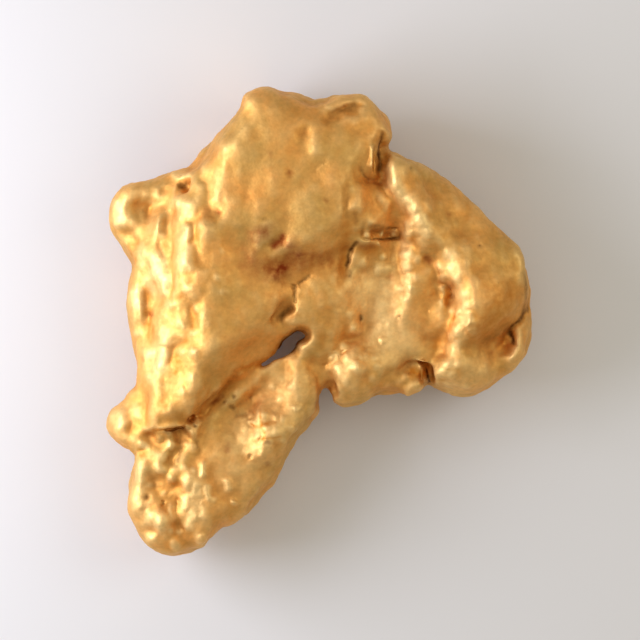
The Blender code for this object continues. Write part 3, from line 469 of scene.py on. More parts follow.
# Beads: each its half width, its height and where it sits.
BEADS = (
    # on the first step
    (0.42, 0.16, (3.3, 7.65), (3.35, 7.35)),
    (0.45, 0.18, (3.6, 6.95), (3.65, 6.75)),
    (0.36, 0.14, (3.95, 6.35)),
    (0.32, 0.13, (4.3, 6.0)),
    (0.32, 0.13, (4.6, 5.6)),
    (0.40, 0.17, (5.0, 5.05), (5.1, 4.85)),
    (0.38, 0.16, (5.2, 4.35)),
    (0.34, 0.14, (4.3, 4.85)),
    (0.34, 0.13, (4.3, 4.35)),
    (0.30, 0.12, (4.1, 3.9)),
    (0.42, 0.17, (4.25, 3.3)),
    (0.42, 0.20, (4.2, 2.65)),
    (0.36, 0.16, (4.3, 2.08)),
    (0.28, 0.11, (4.65, 2.2)),
    (0.26, 0.12, (3.85, 1.65)),
    (0.34, 0.15, (4.35, 1.6)),
    (0.32, 0.14, (4.15, 1.1)),
    (0.28, 0.09, (4.75, 3.1)),
    # along the edge of the cuff
    (0.24, 0.15, (9.95, -0.55), (9.75, -1.2), (9.45, -1.9)),
    # on the horn, the flutes and the flank
    (0.40, 0.14, (-10.15, 5.9), (-10.1, 4.9)),
    (0.36, 0.09, (-8.38, 5.1), (-8.4, 4.5)),
    (0.34, 0.16, (-7.3, 7.25), (-6.8, 7.35)),
    (0.34, 0.14, (-9.08, 3.7), (-8.95, 2.9)),
    (0.45, 0.18, (-6.8, 4.6), (-6.85, 4.1)),
    (0.55, 0.22, (-6.85, 3.4), (-6.85, 2.8)),
    (0.40, 0.16, (-7.3, 5.9)),
    (0.36, 0.15, (-6.7, 5.75), (-6.55, 5.3)),
    (0.50, 0.18, (-8.1, 3.0), (-8.3, 2.2)),
    (0.45, 0.16, (-7.7, 2.0), (-8.0, 1.5)),
    (0.40, 0.16, (-8.8, 1.9), (-8.4, 1.6)),
    (0.42, 0.16, (-9.3, 1.5), (-9.2, 0.8)),
    (0.40, 0.16, (-7.6, 0.8)),
    (0.34, 0.14, (-7.1, -0.1)),
    (0.30, 0.12, (-6.7, 1.6)),
    (0.30, 0.12, (-6.3, 0.6)),
    (0.30, 0.12, (-9.2, -0.6)),
    (0.45, 0.17, (-7.8, -0.5), (-7.8, -1.0)),
    (0.28, 0.11, (-6.45, -0.6)),
    (0.40, 0.15, (-8.6, -1.7)),
    (0.45, 0.17, (-7.95, -1.6), (-8.05, -2.2)),
    (0.30, 0.12, (-7.1, -1.5)),
    (0.30, 0.11, (-6.5, -1.5)),
    (0.34, 0.14, (-8.55, -2.9)),
    (0.32, 0.14, (-6.55, -2.8)),
    (0.26, 0.09, (-7.0, -3.5)),
    (0.40, 0.10, (-10.05, -4.6), (-10.05, -5.2)),
    (0.34, 0.08, (-9.3, -4.3), (-9.25, -4.7)),
    (0.22, 0.07, (-4.95, 3.5)),
    (0.24, 0.09, (-5.2, 2.15)),
    (0.22, 0.08, (-4.9, 1.45)),
    # on the second step
    (0.50, 0.20, (6.4, 3.25)),
    (0.46, 0.18, (6.5, 2.65)),
    (0.34, 0.14, (6.7, 2.15)),
    (0.30, 0.15, (5.85, 2.65)),
    (0.30, 0.14, (6.0, 2.2)),
    (0.26, 0.11, (6.1, 1.7)),
    (0.30, 0.15, (6.0, 0.9)),
    (0.38, 0.16, (7.0, 1.2)),
    (0.34, 0.15, (7.1, 0.7)),
    (0.32, 0.16, (6.6, 0.45)),
    (0.46, 0.22, (7.2, 0.05)),
    (0.40, 0.18, (6.6, -0.7)),
    (0.36, 0.16, (6.75, -1.2)),
    (0.38, 0.16, (6.25, -2.05)),
    (0.32, 0.13, (6.7, -2.1)),
    (0.38, 0.16, (5.9, -2.6)),
    (0.30, 0.12, (6.4, -2.7)),
    (0.30, 0.12, (6.2, -3.2), (6.6, -3.3)),
    (0.30, 0.10, (7.1, -3.3)),
    # in the ring pocket
    (0.28, 0.40, (3.6, 4.4)),
    (0.20, 0.26, (2.98, 4.38)),
    (0.26, 0.34, (2.3, 4.38)),
    (0.24, 0.10, (2.5, 4.9)),
    # right of the neck crease
    (0.32, 0.10, (2.1, 2.85)),
    (0.38, 0.16, (2.95, 2.65)),
    (0.30, 0.11, (3.1, 3.2)),
    (0.16, 0.07, (2.75, 3.82)),
    # palm and heel
    (0.42, 0.34, (1.72, -0.42)),
    (0.24, 0.09, (1.4, 0.35)),
    (0.36, 0.15, (0.6, -1.75)),
    (0.30, 0.13, (1.1, -1.25)),
    (0.30, 0.12, (0.8, -2.3)),
    (0.50, 0.36, (1.85, -2.3)),
    (0.34, 0.14, (2.1, -1.75)),
    (0.30, 0.12, (1.25, -3.0)),
    (0.26, 0.11, (2.65, -1.8)),
    (0.26, 0.10, (2.75, -2.3)),
    (0.26, 0.09, (2.5, -2.9)),
    (0.24, 0.08, (3.0, -1.0)),
    (0.26, 0.09, (1.3, -1.8)),
    # leg
    (0.28, 0.11, (-2.85, -4.7)),
    (0.30, 0.14, (-3.3, -5.45), (-3.25, -5.75)),
    (0.30, 0.14, (-2.35, -5.5)),
    (0.30, 0.13, (-2.6, -6.1)),
    (0.24, 0.10, (-2.75, -5.3)),
    (0.24, 0.11, (-1.95, -4.9)),
    (0.24, 0.12, (-1.55, -5.4)),
    (0.22, 0.10, (-1.9, -6.0)),
    (0.20, 0.08, (-3.6, -4.7)),
    (0.22, 0.08, (-2.95, -6.6)),
    (0.28, 0.13, (-4.75, -8.0), (-4.72, -8.4)),
    (0.24, 0.12, (-4.4, -9.05)),
    (0.24, 0.08, (-1.2, -4.3)),
    (0.26, 0.12, (-3.55, -5.1)),
    (0.26, 0.12, (-2.9, -6.2)),
    (0.24, 0.11, (-2.3, -4.75)),
    (0.24, 0.10, (-2.1, -3.9)),
    (0.24, 0.10, (-1.6, -3.3)),
    (0.22, 0.08, (-2.5, -3.3)),
    # toe and the knobs above it
    (0.32, 0.16, (-8.85, -6.15)),
    (0.32, 0.20, (-7.55, -6.2)),
    (0.28, 0.12, (-8.6, -5.4)),
    (0.36, 0.15, (-8.05, -7.35)),
    (0.40, 0.17, (-9.0, -7.3), (-9.2, -7.9)),
    (0.30, 0.12, (-7.9, -6.8)),
    (0.24, 0.10, (-7.55, -7.9)),
    (0.32, 0.15, (-5.95, -7.2), (-5.9, -7.6)),
    (0.36, 0.14, (-6.7, -7.8), (-6.75, -8.2)),
    (0.34, 0.13, (-6.2, -8.2), (-6.25, -8.7)),
    (0.32, 0.12, (-5.65, -8.3), (-5.6, -8.8)),
    (0.30, 0.12, (-6.85, -8.9), (-6.8, -9.2)),
    (0.34, 0.14, (-6.5, -9.6), (-6.55, -10.1)),
    (0.40, 0.18, (-8.0, -9.8), (-8.0, -10.3)),
    (0.34, 0.14, (-8.5, -10.8)),
    (0.24, 0.13, (-7.45, -9.2), (-7.4, -9.9)),
    (0.22, 0.10, (-7.5, -10.5)),
    (0.36, 0.13, (-7.3, -11.3)),
    (0.24, 0.10, (-6.0, -10.9)),
    (0.24, 0.10, (-9.1, -9.3)),
    (0.26, 0.12, (-6.9, -7.35)),
    (0.26, 0.12, (-6.4, -7.4)),
    (0.26, 0.12, (-5.9, -9.4), (-5.95, -9.8)),
    (0.24, 0.11, (-5.3, -8.9)),
    (0.26, 0.12, (-7.1, -10.5)),
    (0.26, 0.12, (-8.6, -9.6), (-8.7, -10.1)),
    (0.26, 0.12, (-8.6, -8.2)),
    (0.24, 0.11, (-7.9, -8.6)),
)

# Iron stain, laid out as the marks are: its half width, its strength and its points.
RUST_STAINS = (
    # valley
    (0.95, 0.50, (-3.5, 3.0), (-2.8, 2.7), (-2.1, 2.4)),
    (0.75, 0.42, (-2.1, 2.6), (-1.3, 2.9), (-0.4, 3.1), (0.5, 3.0)),
    (0.45, 0.70, (-2.3, 2.35), (-1.9, 2.6)),
    (0.34, 0.75, (-2.35, 3.8), (-1.95, 4.15)),
    (0.75, 0.50, (-1.9, 3.9), (-1.2, 3.3)),
    (0.55, 0.50, (-3.4, 4.3), (-2.8, 4.4)),
    (0.60, 0.18, (-3.8, 3.6), (-2.2, 4.9)),
    # specks on the flank
    (0.28, 0.75, (-5.1, 5.4)),
    (0.40, 0.30, (-5.7, 5.4)),
    (0.30, 0.75, (-8.5, 0.35)),
    (0.35, 0.30, (-8.8, 0.9)),
    # gusset, ledges and palm
    (0.24, 0.40, (2.35, 7.05), (2.95, 6.85)),
    (0.20, 0.15, (2.95, 6.6), (2.7, 6.0), (2.5, 5.5)),
    (0.28, 0.50, (5.2, 3.2), (5.4, 2.9)),
    (0.20, 0.45, (6.5, 1.2)),
    (0.24, 0.35, (5.9, 1.95), (6.5, 1.75)),
    (0.22, 0.35, (3.4, 2.2)),
    (0.30, 0.35, (1.95, 3.75), (2.5, 3.75)),
    # leg
    (0.28, 0.40, (-4.7, -6.1), (-4.7, -6.4)),
    (0.22, 0.45, (-2.65, -7.1)),
    (0.20, 0.45, (-2.6, -6.1)),
    (0.22, 0.50, (-5.4, -4.1), (-5.0, -3.7)),
    # pits in the dome and the crown
    (0.20, 0.40, (6.4, 5.35)),
    (0.20, 0.35, (-1.55, 7.35)),
    (0.22, 0.30, (0.2, 6.0)),
    (0.22, 0.35, (-2.5, 8.45)),
    (0.22, 0.40, (8.5, -1.5)),
)

# Dark brown dirt and painted shade in the creases, pits and folds, laid out the same way.
DIRT_AND_SHADE_STAINS = (
    # neck crease, brow slit, ring pocket and gusset
    (0.19, 1.00, (1.80, 3.88), (1.50, 3.45), (1.35, 3.0), (1.24, 2.7)),
    (0.13, 0.45, (1.5, 2.5), (1.35, 2.2)),
    (0.12, 0.90, (3.04, 9.35), (2.96, 8.8), (2.9, 8.3), (2.9, 7.8), (2.82, 7.4)),
    (0.16, 0.40, (2.0, 7.5), (2.12, 7.2), (2.3, 7.02)),
    (
        0.10, 0.80,
        (2.02, 4.2), (2.3, 4.08), (2.75, 4.15), (3.1, 4.12), (3.5, 4.06), (3.85, 4.15),
        (4.0, 4.4),
    ),
    (0.10, 0.60, (3.85, 4.68), (3.5, 4.72), (3.2, 4.62)),
    (0.30, 0.45, (2.5, 4.65), (3.1, 4.55)),
    (0.14, 0.35, (1.98, 4.3), (2.15, 4.8)),
    (0.22, 0.20, (1.3, 7.0), (1.2, 6.0), (1.25, 5.2)),
    (0.20, 0.30, (1.62, 5.3), (1.72, 4.75)),
    # the fold above the toe, the brow's lip, the palm and the saddle
    # painted shadow under the overhanging lower end of the flank
    (0.26, 0.45, (-7.7, -5.5), (-6.6, -5.35)),
    (0.30, 0.50, (0.4, 10.3), (0.8, 10.5), (1.2, 10.62), (1.7, 10.75)),
    (0.15, 0.80, (1.95, 0.2), (1.98, 0.05)),
    (0.18, 0.60, (-1.4, 1.8), (-1.3, 1.0)),
    (0.26, 0.65, (-1.5, 0.65), (-1.85, 0.35), (-2.05, 0.05)),
    (0.14, 0.60, (-1.2, 1.95), (-0.6, 2.25)),
    # leg
    (0.24, 0.24, (-5.6, -4.4), (-5.2, -3.9), (-4.7, -3.2), (-4.2, -2.6)),
    (0.14, 0.60, (-3.55, -6.75)),
    (0.18, 0.60, (-4.4, -3.75)),
    (0.13, 0.55, (-4.6, -4.3), (-4.35, -4.42)),
    (0.13, 0.35, (-4.85, -4.05)),
    (0.13, 0.35, (-3.5, -3.85)),
    (0.15, 0.30, (-4.2, -4.75), (-3.8, -4.6)),
    # toe
    (0.18, 0.50, (-6.95, -6.2), (-7.1, -6.8), (-7.25, -7.2)),
    (0.15, 0.45, (-6.25, -6.0), (-6.1, -6.5)),
    (0.17, 0.60, (-6.3, -5.2)),
    (0.24, 0.22, (-8.3, -5.9), (-7.5, -5.88), (-6.9, -6.0)),
    (0.22, 0.75, (-8.65, -8.8)),
    (0.13, 0.75, (-7.9, -9.05)),
    (0.28, 0.40, (-8.4, -8.2)),
    # horn, heel pocket, cuff and dome
    (0.24, 0.90, (-7.05, 6.72), (-6.75, 6.8)),
    (0.12, 1.00, (5.25, -2.4), (5.32, -2.7), (5.38, -3.1)),
    (0.30, 0.25, (4.9, -1.95), (4.4, -2.2), (3.9, -2.6), (3.5, -3.1)),
    (0.18, 1.00, (9.48, -0.65), (9.52, -0.9), (9.55, -1.1)),
    (0.17, 0.85, (10.25, 0.6), (9.95, 0.1), (9.55, -0.35), (9.42, -0.7)),
    (0.30, 0.25, (9.3, -0.2), (8.7, -0.7), (8.1, -1.0)),
    (0.20, 0.45, (10.15, 2.4), (10.25, 1.8), (10.2, 0.9), (10.1, 0.35)),
    (0.12, 0.60, (7.9, 3.85)),
    (0.12, 0.50, (4.45, 7.65)),
    # specks on the crown and the palm
    (0.18, 0.40, (-2.85, 5.1)),
    (0.12, 0.50, (3.95, 0.25)),
)

# Painted shade: a warm, deeper gold in the creases, pockets and valley and on slopes turned from
# the light, laid out the same way.
WARM_SHADE_PLACES = (
    # neck, valley, heel pocket, leg line, slit, cuff and dome
    (0.38, 0.60, (1.4, 4.9), (1.15, 4.0), (1.1, 3.2), (1.0, 2.4), (0.9, 1.5)),
    (0.80, 0.35, (-3.4, 2.9), (-2.0, 2.7), (-0.6, 2.9), (0.7, 2.9)),
    (0.40, 0.55, (1.8, 3.55), (2.7, 3.5)),
    (0.50, 1.00, (4.6, -2.6), (5.0, -2.7)),
    (0.50, 0.60, (5.9, -0.9), (5.65, -1.3), (5.8, -1.6)),
    (0.34, 0.70, (-4.2, -2.6), (-3.5, -2.3), (-2.8, -1.9), (-2.0, -1.2), (-1.4, -0.6)),
    (0.40, 0.60, (-6.2, -4.7), (-5.6, -4.4), (-5.2, -3.9), (-4.7, -3.2), (-4.2, -2.6)),
    (0.34, 0.50, (-1.3, 0.5), (-1.7, 0.1)),
    (0.30, 0.60, (9.2, -0.9), (9.0, -1.3)),
    # painted shade on the dome's lower right, which faces away from the light
    (1.1, 0.60, (9.3, 1.4), (8.9, 0.3), (8.0, -0.5)),
    # horn, flank and flutes
    (0.30, 0.45, (-8.9, 5.8), (-8.6, 5.5)),
    (0.42, 0.65, (-8.8, 1.6), (-8.65, 0.6), (-8.65, -0.3), (-8.55, -0.9)),
    (0.30, 0.50, (-7.2, -1.4), (-7.1, -2.4)),
    (0.28, 0.50, (-6.4, 0.6), (-6.4, -0.4)),
    (0.34, 0.50, (-7.05, 1.3)),
    (0.34, 0.50, (-6.45, 0.2)),
    (0.34, 0.60, (-6.8, -1.0)),
    (0.30, 0.60, (-7.35, -1.8), (-7.3, -2.5)),
    (1.0, 0.40, (-7.9, -4.1), (-7.4, -4.9)),
    (0.30, 0.50, (-9.6, 3.8), (-9.3, 3.0)),
    (0.24, 0.50, (-6.0, 4.6), (-6.5, 3.9)),
    (0.24, 0.45, (-7.8, 5.2), (-7.7, 4.4), (-7.75, 3.8), (-7.55, 3.0)),
    # toe, ledges and the gaps between the leg's beads
    (0.34, 0.40, (-9.0, -6.6), (-8.6, -7.0)),
    (0.60, 0.35, (-8.4, -8.6), (-8.4, -9.4)),
    (0.30, 0.50, (5.95, 1.95), (6.6, 1.7)),
    (0.24, 0.50, (3.9, 3.05)),
    (0.24, 0.40, (3.7, 1.2)),
    (0.40, 0.35, (-4.8, -6.9), (-3.6, -6.9), (-3.0, -6.7)),
    (0.14, 0.75, (-3.05, -4.3), (-3.0, -5.0), (-2.75, -5.6), (-2.8, -6.2)),
    (0.13, 0.75, (-3.6, -5.2), (-3.0, -5.2), (-2.3, -5.1)),
    (0.13, 0.65, (-3.4, -6.0), (-2.0, -5.75)),
    (0.30, 0.40, (-7.3, -7.6), (-7.2, -8.3)),
    (0.40, 0.30, (-0.1, -0.9), (0.3, -2.4)),
)

# The most rubbed places, where the gold is palest: wear, and painted highlight on the faces that
# the light falls on, laid out the same way.
RUBBED_AND_LIT_PLACES = (
    # flank, horn and slope
    (2.4, 0.22, (-8.0, 5.4), (-8.6, 1.0), (-8.2, -1.8)),
    (0.8, 0.65, (-8.2, 3.0), (-8.2, 1.5)),
    (0.7, 0.60, (-8.1, -1.6), (-8.2, -2.4)),
    (0.6, 0.65, (-6.85, 4.2), (-6.85, 2.8)),
    (0.6, 0.55, (-9.25, 1.4), (-9.2, 0.8)),
    (0.6, 0.50, (-7.3, 5.9), (-6.7, 5.7)),
    (0.5, 0.60, (-10.1, 5.9), (-10.1, 4.9)),
    (0.9, 0.25, (-5.0, 7.0), (-4.9, 6.0)),
    # spur, toe, palm, leg and heel
    (1.0, 0.60, (-10.1, -4.6)),
    (1.1, 0.55, (-9.0, -7.4), (-9.2, -8.6), (-8.2, -10.4)),
    (0.9, 0.65, (-6.4, -7.8), (-6.3, -9.8)),
    # painted light: the palm, leg and heel made paler, as though more lit
    (1.6, 0.50, (1.3, -2.2)),
    (2.2, 0.75, (2.4, 1.6), (3.6, -1.0)),
    (2.0, 0.42, (-2.0, -3.4), (-4.4, -7.6)),
    (1.2, 0.35, (5.8, -4.0), (8.0, -2.6)),
    # the two ledges
    # painted highlight along the lit faces of the ledges
    (0.6, 0.90, (3.35, 7.6), (3.6, 6.8), (4.1, 6.1), (4.6, 5.5), (5.05, 4.8), (5.15, 4.2)),
    (0.4, 0.65, (4.3, 4.6), (4.2, 3.3), (4.2, 2.4), (4.2, 1.2)),
    (0.6, 0.60, (6.4, 3.3), (6.6, 2.2), (7.0, 1.0), (7.1, 0.0), (6.7, -1.2), (6.1, -2.4)),
)

# How lumpy the skin is: the reach of each zone, its share of the full lumps, and its points.
ZONES = (
    (3.2, 0.9, (-8.0, 5.0), (-8.2, -4.0)),
    (2.2, 0.6, (-4.2, 2.0), (-4.5, -1.5)),
    (3.4, 0.38, (-2.5, 8.5), (0.5, 6.5)),
    (2.0, 1.0, (3.6, 5.4), (4.3, 2.0)),
    (1.6, 1.0, (6.4, 2.5), (6.6, -2.0)),
    (2.6, 0.8, (8.6, 3.0), (8.2, 1.0)),
    (2.4, 1.1, (-7.6, -6.8), (-7.0, -10.0)),
    (2.0, 1.2, (-3.0, -5.4), (-1.6, -2.8)),
    (1.8, 1.4, (1.2, -1.8)),
    (1.6, 0.9, (2.2, 1.0), (3.6, -0.8)),
)


def linear(hex_colour):
    """An sRGB hex colour as linear RGBA."""
    parts = [int(hex_colour[i : i + 2], 16) / 255 for i in (1, 3, 5)]
    return [p / 12.92 if p <= 0.04045 else ((p + 0.055) / 1.055) ** 2.4 for p in parts] + [1.0]


def add_node(tree, kind, settings=None, links=None):
    """Adds a node, gives it its settings and input values, and links what feeds its inputs."""
    node = tree.nodes.new(kind)
    for name, value in (settings or {}).items():
        setattr(node, name, value)
    for name, value in (links or {}).items():
        socket = node.inputs[name]
        if isinstance(value, bpy.types.NodeSocket):
            tree.links.new(value, socket)
        else:
            socket.default_value = value
    return node


def positions(mesh):
    """The place of every vertex, one row each."""
    points = np.empty(len(mesh.vertices) * 3)
    mesh.vertices.foreach_get("co", points)
    return points.reshape(-1, 3)


def outward(mesh):
    """The outward direction at every vertex."""
    found = np.empty(len(mesh.vertices) * 3)
    mesh.vertex_normals.foreach_get("vector", found)
    return found.reshape(-1, 3)


def place(mesh, points):
    """Moves every vertex to its row of the points."""
    mesh.vertices.foreach_set("co", points.ravel())
    mesh.update()


def store(mesh, name, values):
    """Keeps a number for every vertex, for the nodes to read."""
    attribute = mesh.attributes.new(name, "FLOAT", "POINT")
    attribute.data.foreach_set("value", values.astype(np.float32))


def keep_evaluated(piece):
    """Turns what the modifiers make into the piece's own mesh."""
    graph = bpy.context.evaluated_depsgraph_get()
    mesh = bpy.data.meshes.new_from_object(piece.evaluated_get(graph))
    piece.modifiers.clear()
    piece.data = mesh


def near_stroke(spots, points, reach):
    """How near each spot is to a line through the points: 1 on it, 0 at its reach and beyond. The
    line also fades towards its two ends."""
    points = np.array(points)
    found = np.zeros(len(spots))
    low, high = points.min(0) - reach, points.max(0) + reach
    around = np.flatnonzero(((spots > low) & (spots < high)).all(1))
    if len(points) == 1:
        apart = np.minimum(np.linalg.norm(spots[around] - points[0], axis=1), reach)
        found[around] = (1 - (apart / reach) ** 2) ** 2
        return found
    lengths = np.linalg.norm(np.diff(points, axis=0), axis=1)
    starts = np.cumsum(lengths) - lengths
    whole = lengths.sum() + 2 * reach
    apart = np.full(len(around), float(reach))
    travelled = np.zeros(len(around))
    for start, end, length, before in zip(points, points[1:], lengths, starts):
        leg = (end - start) / length
        off = spots[around] - start
        along = np.clip(off @ leg, -reach, length + reach)
        gap = np.linalg.norm(off - np.clip(along, 0, length)[:, None] * leg, axis=1)
        nearer = gap < apart
        apart[nearer] = gap[nearer]
        travelled[nearer] = (reach + before + along)[nearer]
    fade = 1 - (2 * travelled / whole - 1) ** 4
    found[around] = (1 - (apart / reach) ** 2) ** 2 * np.clip(fade, 0, 1)
    return found


def plan(points):
    """Where the points are in plan, pushed about a little so that no mark has a ruled edge."""
    spots = points[:, :2].copy()
    for size, width in WANDERS:
        pushes = np.array([noise.noise_vector(Vector(p) / size) for p in points])
        spots += width * pushes[:, :2]
    return spots


def facing_up(mesh):
    """1 where the skin faces up, falling to 0 on walls that overhang."""
    low, high = MARK_LEVEL
    share = np.clip((outward(mesh)[:, 2] - low) / (high - low), 0, 1)
    return share * share * (3 - 2 * share)


def fine_skin(solid):
    """A copy of the solid's skin in millimetres, its facets smoothed and drawn in fine cells."""
    shape = bmesh.new()
    shape.from_mesh(solid.data)
    bmesh.ops.remove_doubles(shape, verts=shape.verts, dist=0.001 * MM)
    bmesh.ops.scale(shape, vec=(1 / MM,) * 3, verts=shape.verts)
    mesh = bpy.data.meshes.new("worn_gold")
    shape.to_mesh(mesh)
    shape.free()
    skin = bpy.data.objects.new("worn_gold", mesh)
    bpy.context.scene.collection.objects.link(skin)
    rounded = skin.modifiers.new("rounded facets", "SUBSURF")
    rounded.levels = rounded.render_levels = 2
    fine = skin.modifiers.new("fine cells", "REMESH")
    fine.mode = "VOXEL"
    fine.voxel_size = SKIN_CELL
    keep_evaluated(skin)
    return skin


def work_sides(mesh):
    """Fills out and trims the sides, from top to bottom, where the outline asks for it."""
    points = positions(mesh)
    spots = points[:, :2]
    rise = sum(height * near_stroke(spots, line, reach) for reach, height, *line in SIDES)
    place(mesh, points + outward(mesh) * rise[:, None])


def work_marks(mesh, fine):
    """Raises and sinks the fine marks, or the broad ones, straight up and down."""
    points = positions(mesh)
    spots = plan(points)
    rise = np.zeros(len(points))
    for reach, height, *line in MARKS:
        if (reach < FINE_MARK) != fine:
            continue
        if height > 0:
            near = near_stroke(spots - (RAISED_SHIFT, 0), line, reach * RAISED_SPREAD)
            rise += RAISED_SHARE * height * near
        else:
            rise += SUNK_SHARE * height * near_stroke(spots, line, reach * SUNK_SPREAD)
    points[:, 2] += rise * facing_up(mesh)
    place(mesh, points)


def work_beads(mesh):
    """Raises the beads. Where two of them meet, a crease is left between them."""
    points = positions(mesh)
    spots = plan(points) - (BEAD_SHIFT, 0)
    rise = np.zeros(len(points))
    for reach, height, *line in BEADS:
        rise = np.maximum(rise, height * near_stroke(spots, line, BEAD_SPREAD * reach))
    points[:, 2] += BEAD_SHARE * rise * facing_up(mesh)
    place(mesh, points)


def soften(skin):
    """Rounds off what has been worked so far."""
    smooth = skin.modifiers.new("softened", "SMOOTH")
    smooth.iterations = SOFTENING
    keep_evaluated(skin)


def refine(mesh):
    """Splits the faces round the fine marks, so that these are drawn in smaller cells."""
    spots = plan(positions(mesh))
    near = np.zeros(len(spots))
    for reach, height, *line in MARKS:
        if reach < FINE_MARK:
            near = np.maximum(near, near_stroke(spots, line, reach * SUNK_SPREAD + SKIN_CELL))
    near *= facing_up(mesh)
    shape = bmesh.new()
    shape.from_mesh(mesh)
    edges = [e for e in shape.edges if all(near[v.index] > 0 for v in e.verts)]
    bmesh.ops.subdivide_edges(shape, edges=edges, cuts=1, use_grid_fill=True)
    bmesh.ops.triangulate(shape, faces=shape.faces)
    shape.to_mesh(mesh)
    shape.free()


def lay_zones(mesh):
    """How lumpy each place is, blended from the zones round it."""
    spots = positions(mesh)[:, :2]
    weights = np.full(len(spots), FULL_LUMPS)
    sums = weights.copy()
    for reach, share, *line in ZONES:
        near = near_stroke(spots, line, reach)
        weights += near
        sums += share * near
    store(mesh, "lumpy", sums / weights)


def lay_stain(mesh, name, strokes):
    """How strongly each place takes the strokes, on the side that the marks are on: a stain, dirt,
    or painted shade or highlight.
    """
    spots = plan(positions(mesh))
    clean = np.ones(len(spots))
    for reach, strength, *line in strokes:
        clean *= 1 - strength * near_stroke(spots, line, reach)
    store(mesh, name, (1 - clean) * facing_up(mesh))


def worn_skin_tree():
    """Lifts swells, lumps and pebbles from a skin and marks how hollow each place is."""
    tree = bpy.data.node_groups.new("worn skin", "GeometryNodeTree")
    lumps = ("Swell", "Lump", "Pebble")
    heights = [f"{lump} {size}" for lump in lumps for size in ("Size", "Rise")]
    for kind, names in (
        ("Geometry", ["Skin"]),
        ("Float", [*heights, "Hollow Depth", "Seed"]),
        ("Vector", ["Lump Shape"]),
        ("Int", ["Hollow Reach"]),
        ("Material", ["Finish"]),
    ):
        for name in names:
            tree.interface.new_socket(name, in_out="INPUT", socket_type="NodeSocket" + kind)
    tree.interface.new_socket("Skin", in_out="OUTPUT", socket_type="NodeSocketGeometry")
    given = tree.nodes.new("NodeGroupInput").outputs
    where = tree.nodes.new("GeometryNodeInputPosition").outputs[0]
    normal = tree.nodes.new("GeometryNodeInputNormal").outputs[0]

    # The lumps, from the widest to the smallest, each added to the rise of those before it.
    shaped = add_node(
        tree, "ShaderNodeVectorMath", {"operation": "MULTIPLY"}, {0: where, 1: given["Lump Shape"]}
    ).outputs[0]
    four_d_noise = ("ShaderNodeTexNoise", {"noise_dimensions": "4D"})
    four_d_cells = ("ShaderNodeTexVoronoi", {"voronoi_dimensions": "4D", "feature": "SMOOTH_F1"})
    rise = 0.0
    for lump, (kind, settings), inputs in (
        ("Swell", four_d_noise, {"Scale": 1.0, "Detail": 0.0}),
        ("Lump", four_d_noise, {"Scale": 1.0, "Detail": 0.5}),
        ("Pebble", four_d_cells, {"Scale": -1.0, "Smoothness": 0.6}),
    ):
        scaled = add_node(
            tree,
            "ShaderNodeVectorMath",
            {"operation": "DIVIDE"},
            {0: shaped, 1: given[lump + " Size"]},
        ).outputs[0]
        drawn = add_node(
            tree, kind, settings, {"Vector": scaled, "W": given["Seed"], **inputs}
        ).outputs[0]
        level = add_node(
            tree, "ShaderNodeMath", {"operation": "SUBTRACT"}, {0: drawn, 1: 0.5}
        ).outputs[0]
        rise = add_node(
            tree,
            "ShaderNodeMath",
            {"operation": "MULTIPLY_ADD"},
            {0: level, 1: given[lump + " Rise"], 2: rise},
        ).outputs[0]
    lumpy = add_node(
        tree, "GeometryNodeInputNamedAttribute", {"data_type": "FLOAT"}, {"Name": "lumpy"}
    ).outputs["Attribute"]
    rise = add_node(
        tree, "ShaderNodeMath", {"operation": "MULTIPLY"}, {0: rise, 1: lumpy}
    ).outputs[0]
    offset = add_node(
        tree, "ShaderNodeVectorMath", {"operation": "SCALE"}, {0: normal, "Scale": rise}
    ).outputs[0]
    lifted = add_node(
        tree, "GeometryNodeSetPosition", None, {"Geometry": given["Skin"], "Offset": offset}
    ).outputs[0]

    # How far each place lies below the skin round it.
    blurred = add_node(
        tree,
        "GeometryNodeBlurAttribute",
        {"data_type": "FLOAT_VECTOR"},
        {"Value": where, "Iterations": given["Hollow Reach"]},
    ).outputs[0]
    towards_blur = add_node(
        tree, "ShaderNodeVectorMath", {"operation": "SUBTRACT"}, {0: blurred, 1: where}
    ).outputs[0]
    depth = add_node(
        tree, "ShaderNodeVectorMath", {"operation": "DOT_PRODUCT"}, {0: towards_blur, 1: normal}
    ).outputs["Value"]
    hollow = add_node(
        tree, "ShaderNodeMath", {"operation": "DIVIDE"}, {0: depth, 1: given["Hollow Depth"]}
    ).outputs[0]
    marked = add_node(
        tree,
        "GeometryNodeStoreNamedAttribute",
        {"data_type": "FLOAT", "domain": "POINT"},
        {"Geometry": lifted, "Name": "hollow", "Value": hollow},
    ).outputs[0]

    real = add_node(tree, "GeometryNodeRealizeInstances", None, {"Geometry": marked}).outputs[0]
    dressed = add_node(
        tree, "GeometryNodeSetMaterial", None, {"Geometry": real, "Material": given["Finish"]}
    ).outputs[0]
    add_node(tree, "NodeGroupOutput", None, {0: dressed})
    return tree


def wear(skin, material):
    """Runs the worn skin tree over the skin with its sizes."""
    tree = worn_skin_tree()
    worn = skin.modifiers.new("worn skin", "NODES")
    worn.node_group = tree
    sizes = {
        "Swell Size": SWELL_SIZE,
        "Swell Rise": SWELL_RISE,
        "Lump Size": LUMP_SIZE,
        "Lump Rise": LUMP_RISE,
        "Pebble Size": PEBBLE_SIZE,
        "Pebble Rise": -PEBBLE_RISE,
        "Hollow Depth": HOLLOW_DEPTH,
        "Lump Shape": LUMP_SHAPE,
        "Seed": float(LUMP_SEED),
        "Hollow Reach": HOLLOW_REACH,
        "Finish": material,
    }
    for item in tree.interface.items_tree:
        if item.in_out == "INPUT" and item.name in sizes:
            worn[item.identifier] = sizes[item.name]
    keep_evaluated(skin)


def lighten(skin):
    """Brings the skin under the triangle limit, dropping them where it is smooth."""
    lighter = skin.modifiers.new("lighter", "DECIMATE")
    lighter.ratio = min(1.0, SKIN_TRIANGLES / (2 * len(skin.data.vertices)))
    lighter.use_collapse_triangulate = True
    keep_evaluated(skin)


